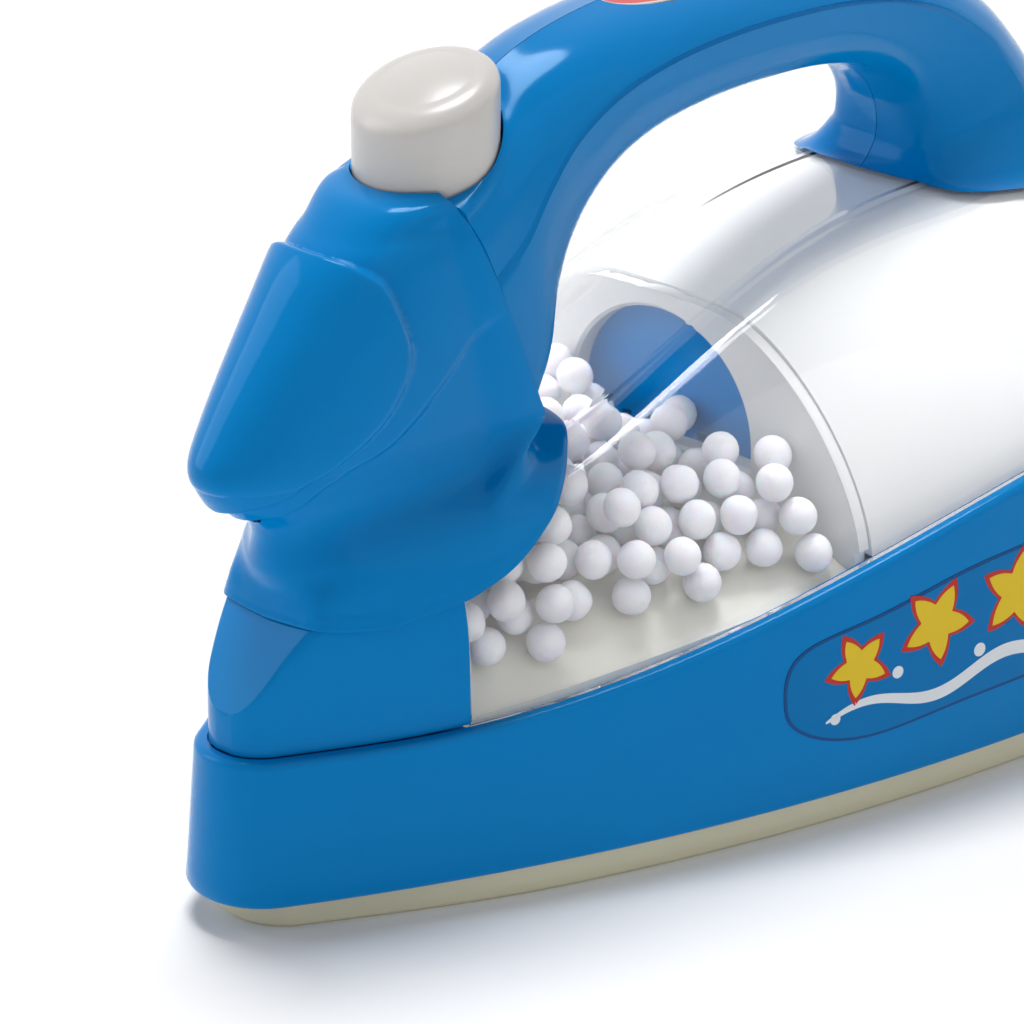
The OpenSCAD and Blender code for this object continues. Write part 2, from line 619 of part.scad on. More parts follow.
// heights follow the handle's height in front and its rise above the tank behind
crest_share = 0.6403;
rear_from_share = 0.36;
rear_to_share = 0.64;
function arch_height(k, t) =
    let (rear = eased((t / (foot_key + 1) - rear_from_share) / (rear_to_share - rear_from_share)))
    k * handle_height * (1 - rear)
    + (dome_height + (handle_height - dome_height) * (k - crest_share) / (1 - crest_share)) * rear;
function under_at(t) = [body_length * smooth_at(arch_keys, under_x_shares, t),
                        arch_height(smooth_at(arch_keys, under_z_shares, t), t)];
function over_at(t) = [body_length * smooth_at(arch_keys, over_x_shares, t),
                       arch_height(smooth_at(arch_keys, over_z_shares, t), t)];
function handle_spot(t, side, up, out, wall) =
    let (a = under_at(t), b = over_at(t), n = (b - a) / norm(b - a), low = a + n * wall, top = b - n * wall,
         p = low + (top - low) * up, half = smooth_at(arch_keys, handle_half_sizes, t) - wall,
         y = side * (seam_gap + (half - seam_gap) * out), foot = eased(t - foot_key))
    [p[0], y, p[1] * (1 - foot) + (foot > 0 ? tank_at(p[0], y) + rim_lift : 0) * foot];
function handle_skin(t, side, wall) = [for (i = [0:len(section_up_shares) - 1])
    handle_spot(t, side, section_up_shares[i], section_out(i, t), wall)];
function handle_loop(t, side) =
    concat(handle_skin(t, side, 0), backwards(handle_skin(t, side, handle_wall)));
function handle_mid(t, up) = let (a = under_at(t), b = over_at(t)) a + (b - a) * up;

handle_screw_shares = [0.264, 0.45, 0.743];
handle_screw_up_share = 0.52;

module handle_half(side) {
    loops = [for (i = [0:2 * foot_key + 2]) handle_loop(i / 2, side)];
    ordered = side < 0 ? loops : [for (loop = loops) backwards(loop)];
    difference() {
        union() {
            loft(ordered, thin = true);
            for (k = handle_screw_shares) let (p = handle_mid(k * (foot_key + 1), handle_screw_up_share))
                translate([p[0], side * seam_gap, p[1]]) rotate([-90 * side, 0, 0])
                    cylinder(d = handle_boss_d, h = grip_half - handle_wall);
            translate([switch_at + switch_long / 2 - shelf_long, side < 0 ? -shelf_half : seam_gap,
                       switch_low - shelf_thick])
                cube([shelf_long, shelf_half - seam_gap, shelf_thick]);
        }
        button_bore();
        badge_seat();
        for (k = handle_screw_shares) let (p = handle_mid(k * (foot_key + 1), handle_screw_up_share)) {
            along_y(p[0], -handle_screw_reach, p[1], screw_d, handle_screw_reach + cut_over);
            if (side > 0) {
                along_y(p[0], 0, p[1], screw_d + slide_gap, body_width);
                along_y(p[0], handle_head_at, p[1], screw_head_d + 2 * slide_gap, body_width);
            }
        }
    }
}
module handle_left() color("#0A72B8") frame() handle_half(-1);
module handle_right() color("#0A72B8") frame() handle_half(1);

module handle_screws() color("silver") frame()
    for (k = handle_screw_shares) let (p = handle_mid(k * (foot_key + 1), handle_screw_up_share))
        translate([p[0], handle_head_at + screw_head_height, p[1]]) rotate([90, 0, 0])
            screw(handle_head_at + handle_screw_reach - slide_gap, screw_head_height - seat_gap);

// red badge let into the top of the handle
badge_at_share = 0.47;
badge_at = badge_at_share * body_length;
module badge_oval(grow) polygon([for (i = [0:47]) let (a = 7.5 * i)
    [(badge_length / 2 + grow) * cos(a), (badge_width / 2 + grow) * sin(a)]]);
module badge_seat() translate([badge_at, 0, handle_height - badge_sink])
    linear_extrude(dome_height) badge_oval(slide_gap);
module badge_plate() color("#D8322A") frame()
    translate([badge_at, 0, handle_height - badge_sink + seat_gap]) linear_extrude(badge_thick) badge_oval(0);

// push button with its stem, spring and switch
module push_button() color("#E9E6E1") frame() {
    difference() {
        translate([button_at, 0, button_foot]) cylinder(r = button_radius, h = handle_height);
        translate([button_at, 0, button_top]) rotate([0, -button_tilt, 0])
            translate([-body_width, -body_width, 0]) cube([2 * body_width, 2 * body_width, 2 * body_width]);
        translate([button_at, 0, button_foot - cut_over])
            cylinder(r = button_radius - button_wall, h = button_top - button_roof - button_foot + cut_over);
    }
    translate([stem_at, 0, stem_foot])
        cylinder(r = stem_radius, h = button_top - button_roof - stem_foot + cut_over);
    translate([stem_at, 0, spring_top]) cylinder(r = spring_seat, h = button_wall);
}

module button_spring() color("silver") frame()
    translate([stem_at, 0, switch_top + seat_gap + spring_wire])
        loft([for (i = [0:12 * spring_turns]) let (a = 30 * i)
            [for (j = [0:5]) let (b = 60 * j, r = spring_radius + spring_wire * cos(b))
                [r * cos(a), r * sin(a), spring_pitch * i / 12 + spring_wire * sin(b)]]]);

module switch_body() color("#2B2B2D") frame() difference() {
    translate([switch_at - switch_long / 2, -switch_half, switch_low])
        cube([switch_long, 2 * switch_half, switch_top - switch_low]);
    translate([stem_at, 0, switch_low + box_wall]) cylinder(r = plunger_radius + slide_gap, h = switch_top);
}
module switch_plunger() color("#C9302C") frame()
    translate([stem_at, 0, plunger_foot])
        cylinder(r = plunger_radius, h = stem_foot - seat_gap - plunger_foot);

// blower
impeller_at = panel_at + panel_wall + impeller_air;
motor_at = impeller_at + impeller_deep + motor_air;
motor_axis = bay_top + box_wall + motor_d / 2 + motor_lift;
lead_pass_at = motor_at + motor_length + lead_pass_back;
module motor() color("silver") frame() difference() {
    along_x(motor_at, 0, motor_axis, motor_d, motor_length);
    along_x(motor_at - cut_over, 0, motor_axis, shaft_d + 2 * slide_gap, shaft_depth + cut_over);
}
shaft_from = impeller_at - shaft_d / 2;
module motor_shaft() color("gray") frame()
    along_x(shaft_from, 0, motor_axis, shaft_d, motor_at + shaft_depth - slide_gap - shaft_from);
module impeller() color("white") frame() difference() {
    union() {
        along_x(impeller_at, 0, motor_axis, hub_d, impeller_deep);
        along_x(impeller_at + impeller_deep - blade_thick, 0, motor_axis, impeller_d, blade_thick);
        for (i = [0:blade_count - 1])
            translate([impeller_at, 0, motor_axis]) rotate([360 * i / blade_count, 0, 0])
                translate([0, -blade_thick / 2, 0])
                    cube([impeller_deep, blade_thick, impeller_d / 2 - blade_thick]);
    }
    along_x(impeller_at - cut_over, 0, motor_axis, shaft_d + 2 * seat_gap, impeller_deep + 2 * cut_over);
}
module motor_bracket() color("#DADADA") frame() difference() {
    inset = motor_length * (1 - bracket_share) / 2;
    block(motor_at + inset, motor_at + motor_length - inset, motor_d / 2 - box_wall, bay_top + box_wall,
        motor_axis);
    along_x(motor_at - cut_over, 0, motor_axis, motor_d + 2 * seat_gap, motor_length + 2 * cut_over);
}

// battery box and what it holds
module battery_box() color("#DED9B8") frame() difference() {
    block(bay_from - box_wall, bay_to + box_wall, bay_half + box_wall, 0, bay_top + box_wall);
    block(bay_from, bay_to, bay_half, -cut_over, bay_top);
}
cell_from = bay_to - contact_thick - seat_gap - cell_length;
cell_axis = cell_d / 2 + cell_gap;
cell_side = cell_d / 2 + cell_gap / 2;
module battery_cells() color("#3A7D44") frame() for (side = [-1, 1])
    along_x(cell_from, side * cell_side, cell_axis, cell_d, cell_length);
module contact_springs() color("silver") frame() for (side = [-1, 1])
    translate([bay_from, side * cell_side, cell_axis]) rotate([0, 90, 0])
        cylinder(d1 = contact_wide, d2 = contact_tip, h = cell_from - seat_gap - bay_from);
module contact_plates() color("silver") frame() for (side = [-1, 1])
    translate([bay_to - contact_thick, side * cell_side - contact_wide / 2, cell_axis - contact_wide / 2])
        cube([contact_thick, contact_wide, contact_wide]);

// lead wires from the battery box through the handle to the switch
lead_shares = [0.086, 0.136, 0.193, 0.25, 0.321, 0.393, 0.464, 0.536, 0.607, 0.679, 0.736, 0.793, 0.843,
               0.886];
lead_bend = 3;
function lead_in_handle(t) = let (a = under_at(t), b = over_at(t))
    a + (b - a) / norm(b - a) * (handle_wall + lead_d / 2 + lead_air);
lead_route = concat(
    [[switch_at + switch_long / 2 + seat_gap, (switch_low + switch_top) / 2]],
    [for (k = lead_shares) lead_in_handle(k * (foot_key + 1))],
    [[lead_pass_at - lead_bend, crest_at(lead_pass_at) + 2 * lead_bend],
     [lead_pass_at, crest_at(lead_pass_at) + lead_bend], [lead_pass_at, bay_top + box_wall + seat_gap]]);
module lead(y) loft([for (i = [0:len(lead_route) - 1])
    let (p = lead_route[i], a = lead_route[max(i - 1, 0)], b = lead_route[min(i + 1, len(lead_route) - 1)],
         along = (b - a) / norm(b - a))
    [for (j = [0:7]) let (c = lead_d / 2 * cos(45 * j), s = lead_d / 2 * sin(45 * j))
        [p[0] - along[1] * c, y + s, p[1] + along[0] * c]]]);
module lead_red() color("#C0281E") frame() lead(-lead_side);
module lead_black() color("#1C1C1E") frame() lead(lead_side);

soleplate();
base_skirt();
nose_block();
tank_dome();
heel_block();
bead_tray();
bulkhead();
blower_panel();
inner_cover();
foam_beads();
head_cover();
handle_left();
handle_right();
push_button();
button_spring();
switch_body();
switch_plunger();
badge_plate();
motor();
motor_shaft();
impeller();
motor_bracket();
battery_box();
battery_cells();
contact_springs();
contact_plates();
battery_door();
door_screw();
base_screws();
handle_screws();
lead_red();
lead_black();
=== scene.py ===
"""Toy iron: fine surfaces, finishes, floor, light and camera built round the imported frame."""
import logging
import math
from dataclasses import dataclass, field
from enum import Enum
from typing import Optional, Sequence

import bpy
import numpy as np
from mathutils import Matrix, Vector


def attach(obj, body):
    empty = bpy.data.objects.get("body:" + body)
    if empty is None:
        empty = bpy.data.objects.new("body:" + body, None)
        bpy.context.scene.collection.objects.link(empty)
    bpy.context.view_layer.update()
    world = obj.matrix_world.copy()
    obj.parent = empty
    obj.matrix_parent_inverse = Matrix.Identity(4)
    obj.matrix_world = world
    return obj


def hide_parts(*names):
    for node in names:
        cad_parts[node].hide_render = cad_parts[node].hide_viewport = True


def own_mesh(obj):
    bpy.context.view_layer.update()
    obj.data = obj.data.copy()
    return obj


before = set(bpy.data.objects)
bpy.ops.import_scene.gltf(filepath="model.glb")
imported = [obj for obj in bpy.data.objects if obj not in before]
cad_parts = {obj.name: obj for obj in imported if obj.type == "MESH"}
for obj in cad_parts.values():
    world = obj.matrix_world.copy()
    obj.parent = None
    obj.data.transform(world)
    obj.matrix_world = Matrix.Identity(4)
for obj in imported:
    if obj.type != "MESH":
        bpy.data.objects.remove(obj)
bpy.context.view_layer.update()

LOG = logging.getLogger("toy_iron")
Array = np.ndarray
# Clearance between seated pieces and thickness of the soleplate, in millimetres.
SEAT = 0.12
SOLE = 4.5


class Body(str, Enum):
    """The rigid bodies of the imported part."""

    SHELL = "shell"
    BUTTON = "button"
    ROTOR = "rotor"
    DOOR = "door"


def hermite(keys: Sequence[float], values: Sequence[float], x: Array) -> Array:
    """Smooth curve through a table: cubic pieces whose slopes are those of the neighbours' chord.

    Args:
        keys: rising abscissae.
        values: values at the keys.
        x: where the curve is wanted.

    Returns:
        The curve's values at x.
    """
    k, v, x = np.asarray(keys, float), np.asarray(values, float), np.asarray(x, float)
    i = np.clip(np.searchsorted(k, x, side="right") - 1, 0, len(k) - 2)
    n = np.arange(len(k))
    low, high = np.maximum(n - 1, 0), np.minimum(n + 1, len(k) - 1)
    m = (v[high] - v[low]) / (k[high] - k[low])
    h = k[i + 1] - k[i]
    t = (x - k[i]) / h
    return (v[i] * (1 + 2 * t) * (1 - t) ** 2 + m[i] * h * t * (1 - t) ** 2
            + v[i + 1] * t * t * (3 - 2 * t) + m[i + 1] * h * t * t * (t - 1))


def eased(t: Array) -> Array:
    """Smooth step from 0 to 1."""
    t = np.clip(t, 0, 1)
    return t * t * (3 - 2 * t)


def power(base: Array, exponent: Array) -> Array:
    """Power of the magnitude with the sign kept."""
    return np.sign(base) * np.abs(base) ** exponent


@dataclass(frozen=True)
class Outline:
    """Plan outline of four tangent arcs: nose, flank, heel corner and transom, in millimetres."""

    length: float = 186.0
    half_wide: float = 50.5
    nose_r: float = 10.5
    heel_r: float = 22.0
    heel_reach: float = 26.0

    @property
    def widest(self) -> float:
        """Station of the widest section."""
        return self.length - self.heel_reach

    @property
    def flank(self) -> tuple[float, float]:
        """Angle and radius of the flank arc."""
        angle = 2 * math.atan((self.half_wide - self.nose_r) / (self.widest - self.nose_r))
        return angle, (self.widest - self.nose_r * (1 - math.sin(angle))) / math.sin(angle)

    @property
    def transom(self) -> tuple[float, float]:
        """Angle and radius of the transom arc."""
        side = self.half_wide - self.heel_r
        over = side ** 2 + self.heel_reach ** 2 - self.heel_r ** 2
        radius = over / (2 * (self.heel_reach - self.heel_r))
        return math.atan2(side, radius - self.heel_reach), radius

    def ring(self, d: float) -> Array:
        """Closed outline set in by d: points on the four arcs, then the same mirrored.

        Args:
            d: inset in millimetres.

        Returns:
            Points as an (n, 2) array.
        """
        fa, fr = self.flank
        ta, tr = self.transom
        quarter = math.pi / 2
        arcs = [
            (self.nose_r, 0.0, self.nose_r - d, np.linspace(math.pi, quarter + fa, 25)),
            (self.widest, self.half_wide - fr, fr - d, np.linspace(quarter + fa, quarter, 121)[1:]),
            (self.widest, self.half_wide - self.heel_r, self.heel_r - d, np.linspace(quarter, ta, 25)[1:]),
            (self.length - tr, 0.0, tr - d, np.linspace(ta, 0, 13)[1:]),
        ]
        side = np.concatenate([np.stack([cx + r * np.cos(a), cy + r * np.sin(a)], 1)
                               for cx, cy, r, a in arcs])
        return np.concatenate([side, side[-2:0:-1] * [1, -1]])

    def half(self, x: Array, d: float) -> Array:
        """Half width of the outline: the arc that holds each station, solved for y.

        Args:
            x: stations.
            d: inset in millimetres.

        Returns:
            Half widths at x.
        """
        fa, fr = self.flank
        ta, tr = self.transom
        root = lambda r, c: np.sqrt(np.abs((r - d) ** 2 - (x - c) ** 2))
        nose_end = self.nose_r - (self.nose_r - d) * math.sin(fa)
        heel_end = self.length - tr + (tr - d) * math.cos(ta)
        return np.where(x < nose_end, root(self.nose_r, self.nose_r), np.where(
            x < self.widest, self.half_wide - fr + root(fr, self.widest), np.where(
                x < heel_end, self.half_wide - self.heel_r + root(self.heel_r, self.widest),
                root(tr, self.length - tr))))


@dataclass(frozen=True)
class Tank:
    """Skirt rim and tank surface: a section between foot and crest whose squareness fades to the tail."""

    plan: Outline = Outline()
    nose_high: float = 20.6
    heel_high: float = 42.6
    high: float = 68.7
    inset: float = 3.5
    wall: float = 1.8
    strip: float = 10.9
    rise: float = 0.14
    soft: float = 1.6
    rim_run: tuple = (0.1, 0.71)
    step_run: tuple = (0.08, 0.08)
    squares: tuple = (1.5, 2.6)
    square_run: float = 0.25
    crest_x: tuple = (0.018, 0.035, 0.057, 0.081, 0.108, 0.167, 0.242, 0.306, 0.387, 0.462, 0.554, 0.634,
                      0.72, 0.806, 0.887, 0.946, 0.984)
    crest_z: tuple = (0.378, 0.451, 0.524, 0.582, 0.626, 0.67, 0.713, 0.757, 0.83, 0.898, 0.967, 0.996, 1,
                      0.99, 0.946, 0.844, 0.7)

    def rim(self, x: Array) -> Array:
        """Height of the skirt's rim at stations x."""
        start, run = self.rim_run
        climb = eased((x / self.plan.length - start) / run)
        return self.nose_high + (self.heel_high - self.nose_high) * climb

    def crest(self, x: Array) -> Array:
        """Height of the tank's crest at stations x."""
        return self.high * hermite(self.crest_x, self.crest_z, x / self.plan.length)

    def square(self, x: Array) -> Array:
        """Exponent of the section at stations x."""
        tail, gain = self.squares
        return tail + gain * np.exp(-(x / self.plan.length / self.square_run) ** 2)

    def step(self, x: Array) -> Array:
        """Rise of the strip at stations x, gone towards the nose."""
        start, run = self.step_run
        return self.rise * eased((x / self.plan.length - start) / run)

    def flat(self, half: Array) -> Array:
        """Half width of the raised strip on a section of the given half width."""
        return self.strip * half / np.sqrt(half * half + self.strip ** 2)

    def rib(self, x: Array, t: float, n: int = 30, sink: float = 0.0) -> Array:
        """Sections at stations x, thinned by t: a superellipse from foot to crest, then the raised strip.

        Args:
            x: stations.
            t: inset behind the outer surface.
            n: points on the flank.
            sink: how far the foot goes below the skirt's rim.

        Returns:
            Closed (stations, points, 2) loops of y and z, from the -y foot over the crest to the +y foot.
        """
        x = np.asarray(x, float)[:, None]
        half = self.plan.half(x, self.inset + t)
        flat, low, top, e = self.flat(half), self.rim(x) + SEAT - sink, self.crest(x) - t, 2 / self.square(x)
        q = np.linspace(0, math.pi / 2, n)[None]
        y = flat + (half - flat) * np.abs(np.cos(q)) ** e
        z = low + (top - low) * np.sin(q) ** e
        w = np.linspace(0, 1, 9)[None, 1:]
        y = np.concatenate([y, flat * (1 - self.soft / self.strip * w),
                            flat * np.array([0.7, 0.35])[None]], 1)
        z = np.concatenate([z, top + self.step(x) * eased(w), (top + self.step(x)) * np.ones((1, 2))], 1)
        loop = np.stack([y, z], 2)
        return np.concatenate([loop * [-1, 1], loop[:, ::-1]], 1)

    def at(self, x: Array, y: Array) -> Array:
        """Height of the outer surface: the section's superellipse solved for z, or the strip's top.

        Args:
            x: stations.
            y: places across, of the same shape.

        Returns:
            Heights at the places.
        """
        half = self.plan.half(x, self.inset)
        flat, low, top, n = self.flat(half), self.rim(x) + SEAT, self.crest(x), self.square(x)
        u = (np.abs(y) - flat) / (half - flat)
        body = low + (top - low) * np.clip(1 - np.clip(u, 0, 1) ** n, 0, 1) ** (1 / n)
        return np.where(u <= 0, top + self.step(x), body)


TANK = Tank()


def placed(points: Array) -> Array:
    """Points in maker's millimetres, from nose tip and skirt foot, moved to the frame in metres."""
    return (np.asarray(points, float) + [-TANK.plan.length / 2, 0, SOLE]) / 1000


def stationed(x: Array, loops: Array) -> Array:
    """Loops of y and z given their station x, as (stations, points, 3)."""
    column = np.broadcast_to(np.asarray(x)[:, None, None], loops.shape[:2] + (1,))
    return np.concatenate([column, loops], 2)


def closed_volume(verts: Array, faces: Sequence[Sequence[int]]) -> float:
    """Signed volume inside a closed mesh, by fans of tetrahedra from the origin.

    Args:
        verts: points.
        faces: index lists.

    Returns:
        The volume, negative where the faces point inwards.
    """
    tris = np.array([(f[0], f[i], f[i + 1]) for f in faces for i in range(1, len(f) - 1)])
    a, b, c = verts[tris[:, 0]], verts[tris[:, 1]], verts[tris[:, 2]]
    return float(np.einsum("ij,ij->", a, np.cross(b, c)) / 6)


def solid(name: str, verts: Array, faces: list, crease: float = 35.0,
          split: Optional[Array] = None) -> bpy.types.Object:
    """Makes a closed mesh object, turns its faces outwards and shades it smooth below an angle.

    Args:
        name: object name.
        verts: points in metres.
        faces: index lists.
        crease: angle in degrees above which an edge stays sharp.
        split: material index per face, if more than one.

    Returns:
        The linked object, at the origin.
    """
    if closed_volume(verts, faces) < 0:
        faces = [tuple(reversed(f)) for f in faces]
    mesh = bpy.data.meshes.new(name)
    mesh.from_pydata(verts.tolist(), [], [tuple(int(i) for i in f) for f in faces])
    if split is not None:
        mesh.polygons.foreach_set("material_index", np.asarray(split, np.int32))
    mesh.validate()
    mesh.shade_smooth()
    mesh.set_sharp_from_angle(angle=math.radians(crease))
    obj = bpy.data.objects.new(name, mesh)
    bpy.context.scene.collection.objects.link(obj)
    return obj


def grid_faces(rows: int, cols: int, wrap_rows: bool, wrap_cols: bool) -> Array:
    """Quads of a grid of points, closed round in rows or columns where asked.

    Args:
        rows: points down the grid.
        cols: points across it.
        wrap_rows: the last row joins the first.
        wrap_cols: the last column joins the first.

    Returns:
        Index quads as (n, 4).
    """
    i, j = np.meshgrid(np.arange(rows - (not wrap_rows)), np.arange(cols - (not wrap_cols)), indexing="ij")
    a, b = i * cols + j, i * cols + (j + 1) % cols
    c, d = ((i + 1) % rows) * cols + (j + 1) % cols, ((i + 1) % rows) * cols + j
    return np.stack([a, b, c, d], -1).reshape(-1, 4)


def loft(name: str, loops: Array, thin: bool = False, ring: bool = False,
         crease: float = 35.0) -> bpy.types.Object:
    """Skin over a row of closed loops.

    A thin loop runs out and back along a wall, and a ring of loops closes on itself.

    Args:
        name: object name.
        loops: (loops, points, 3) in maker's millimetres.
        thin: ends are closed by ribbons between the wall's two sides, not by fans.
        ring: the last loop joins the first.
        crease: sharp-edge angle in degrees.

    Returns:
        The object.
    """
    n, m = loops.shape[:2]
    verts = loops.reshape(-1, 3)
    faces = grid_faces(n, m, ring, True).tolist()
    if not ring and thin:
        j = np.arange(m // 2 - 1)
        cap = np.stack([j, j + 1, m - 2 - j, m - 1 - j], 1)
        faces += cap[:, ::-1].tolist() + (cap + (n - 1) * m).tolist()
    elif not ring:
        j = np.arange(m)
        ends = np.stack([verts[:m].mean(0), verts[-m:].mean(0)])
        verts = np.concatenate([verts, ends])
        first = np.stack([(j + 1) % m, j, np.full(m, n * m)], 1)
        last = np.stack([(n - 1) * m + j, (n - 1) * m + (j + 1) % m, np.full(m, n * m + 1)], 1)
        faces += first.tolist() + last.tolist()
    return solid(name, placed(verts), faces, crease)


def carve(obj: bpy.types.Object, cutter: bpy.types.Object, crease: float = 35.0) -> None:
    """Cuts one closed mesh out of another, keeps the result as the mesh and deletes the cutter.

    Args:
        obj: the piece that is cut.
        cutter: the tool, which is removed.
        crease: sharp-edge angle in degrees.
    """
    cut = obj.modifiers.new("cut", "BOOLEAN")
    cut.operation, cut.solver, cut.object = "DIFFERENCE", "EXACT", cutter
    depsgraph = bpy.context.evaluated_depsgraph_get()
    mesh = bpy.data.meshes.new_from_object(obj.evaluated_get(depsgraph))
    old = obj.data
    obj.modifiers.remove(cut)
    obj.data = mesh
    bpy.data.meshes.remove(old)
    bpy.data.objects.remove(cutter)
    mesh.shade_smooth()
    mesh.set_sharp_from_angle(angle=math.radians(crease))


def turned(x: float, y: float, r: float, z: float, a: Array) -> Array:
    """Level circle about x, y at height z, as points at angles a."""
    return np.stack([x + r * np.cos(a), y + r * np.sin(a), np.full(a.shape, z)], 1)


def rod(name: str, x: float, y: float, r: float, low: float, high: float) -> bpy.types.Object:
    """Upright round bar in maker's millimetres: two circles joined and closed.

    Args:
        name: object name.
        x: station of the axis.
        y: place of the axis across.
        r: radius.
        low: height of the foot.
        high: height of the top.

    Returns:
        The object.
    """
    a = np.linspace(0, 2 * math.pi, 128, endpoint=False)
    return loft(name, np.stack([turned(x, y, r, z, a) for z in (low, high)]))


def brick(name: str, x: tuple, half: float, z: tuple) -> bpy.types.Object:
    """Rectangular block in maker's millimetres: one loop carried from the first station to the last."""
    loop = np.array([[-half, z[0]], [half, z[0]], [half, z[1]], [-half, z[1]]])
    return loft(name, stationed(np.array(x), np.stack([loop, loop])))


def linear(code: str) -> tuple[float, float, float, float]:
    """sRGB hex colour turned to linear, with full alpha.

    Args:
        code: colour as #RRGGBB.

    Returns:
        Linear red, green, blue and alpha.
    """
    c = np.array([int(code[i:i + 2], 16) for i in (1, 3, 5)]) / 255
    c = np.where(c <= 0.04045, c / 12.92, ((c + 0.055) / 1.055) ** 2.4)
    return float(c[0]), float(c[1]), float(c[2]), 1.0


def add(tree: bpy.types.NodeTree, kind: str, values: Optional[dict] = None, links: Optional[dict] = None,
        **settings: object) -> bpy.types.Node:
    """Adds a node with its settings, socket values and links.

    Args:
        tree: the node tree.
        kind: node type name.
        values: socket name or number to constant.
        links: socket name or number to the output socket that feeds it.
        settings: attributes of the node.

    Returns:
        The node.
    """
    node = tree.nodes.new(kind)
    for name, value in settings.items():
        setattr(node, name, value)
    for key, value in (values or {}).items():
        node.inputs[key].default_value = value
    for key, socket in (links or {}).items():
        tree.links.new(socket, node.inputs[key])
    return node


def fresh(name: str) -> tuple[bpy.types.Material, bpy.types.NodeTree, bpy.types.NodeSocket]:
    """Empty material, its node tree and the socket of its Object coordinates.

    Args:
        name: the real material and how its surface was made.

    Returns:
        Material, tree and coordinates.
    """
    mat = bpy.data.materials.new(name)
    mat.use_nodes = True
    mat.node_tree.nodes.clear()
    return mat, mat.node_tree, add(mat.node_tree, "ShaderNodeTexCoord").outputs["Object"]


@dataclass(frozen=True)
class Moulded:
    """Moulded plastic: one dye with faint flow clouds, mould-polish gloss and a fine skin ripple.

    The skin's ripple is drawn coarser than the real one so that it shows.
    """

    name: str
    colour: str
    shade: str
    rough: tuple = (0.1, 0.2)
    ior: float = 1.5
    cloud_mm: float = 30.0
    skin_mm: float = 0.8
    skin: float = 0.02
    skin_deep_mm: float = 0.2
    glow: float = 0.0
    glow_deep_mm: float = 1.5
    sheen: str = "#FFFFFF"

    def build(self) -> bpy.types.Material:
        """Colour and gloss vary over clouds of cloud_mm; a bump of skin_mm gives the moulded skin."""
        mat, tree, place = fresh(self.name)
        cloud = add(tree, "ShaderNodeTexNoise",
                    {"Scale": 1000 / self.cloud_mm, "Detail": 3.0, "Roughness": 0.5}, {"Vector": place})
        skin = add(tree, "ShaderNodeTexNoise", {"Scale": 1000 / self.skin_mm, "Detail": 2.0},
                   {"Vector": place})
        tint = add(tree, "ShaderNodeMix", {6: linear(self.colour), 7: linear(self.shade)},
                   {0: cloud.outputs["Fac"]}, data_type="RGBA")
        gloss = add(tree, "ShaderNodeMapRange", {"To Min": self.rough[0], "To Max": self.rough[1]},
                    {"Value": cloud.outputs["Fac"]})
        bump = add(tree, "ShaderNodeBump", {"Strength": self.skin, "Distance": self.skin_deep_mm / 1000},
                   {"Height": skin.outputs["Fac"]})
        body = add(tree, "ShaderNodeBsdfPrincipled",
                   {"IOR": self.ior, "Subsurface Weight": self.glow,
                    "Subsurface Scale": self.glow_deep_mm / 1000, "Specular Tint": linear(self.sheen)},
                   {"Base Color": tint.outputs[2], "Roughness": gloss.outputs[0], "Normal": bump.outputs[0]})
        add(tree, "ShaderNodeOutputMaterial", None, {"Surface": body.outputs[0]})
        return mat


@dataclass(frozen=True)
class ClearMoulding:
    """Clear polystyrene: a thin polished wall that bends light a little and lets the lamps through."""

    name: str = "clear polystyrene, polished moulding"
    tint: str = "#FAFBFC"
    ior: float = 1.45
    ripple_mm: float = 14.0
    rough: tuple = (0.02, 0.06)

    def build(self) -> bpy.types.Material:
        """Polished body whose gloss ripples slowly; shadow rays pass, so that lamps light the inside."""
        mat, tree, place = fresh(self.name)
        ripple = add(tree, "ShaderNodeTexNoise", {"Scale": 1000 / self.ripple_mm, "Detail": 2.0},
                     {"Vector": place})
        gloss = add(tree, "ShaderNodeMapRange", {"To Min": self.rough[0], "To Max": self.rough[1]},
                    {"Value": ripple.outputs["Fac"]})
        body = add(tree, "ShaderNodeBsdfPrincipled",
                   {"Base Color": linear(self.tint), "IOR": self.ior, "Transmission Weight": 1.0},
                   {"Roughness": gloss.outputs[0]})
        film = add(tree, "ShaderNodeBsdfTransparent", {"Color": linear(self.tint)})
        rays = add(tree, "ShaderNodeLightPath")
        skin = add(tree, "ShaderNodeMixShader", None,
                   {0: rays.outputs["Is Shadow Ray"], 1: body.outputs[0], 2: film.outputs[0]})
        add(tree, "ShaderNodeOutputMaterial", None, {"Surface": skin.outputs[0]})
        return mat


@dataclass(frozen=True)
class Plated:
    """Zinc-plated steel: grey metal with fine drawn lines in its gloss."""

    name: str = "zinc-plated steel, drawn and stamped"
    colour: str = "#B4B6B9"
    grain_mm: float = 0.4
    rough: tuple = (0.28, 0.45)

    def build(self) -> bpy.types.Material:
        """Gloss varies over short grains of grain_mm."""
        mat, tree, place = fresh(self.name)
        grain = add(tree, "ShaderNodeTexNoise", {"Scale": 1000 / self.grain_mm, "Detail": 2.0},
                    {"Vector": place})
        gloss = add(tree, "ShaderNodeMapRange", {"To Min": self.rough[0], "To Max": self.rough[1]},
                    {"Value": grain.outputs["Fac"]})
        body = add(tree, "ShaderNodeBsdfPrincipled", {"Base Color": linear(self.colour), "Metallic": 1.0},
                   {"Roughness": gloss.outputs[0]})
        add(tree, "ShaderNodeOutputMaterial", None, {"Surface": body.outputs[0]})
        return mat


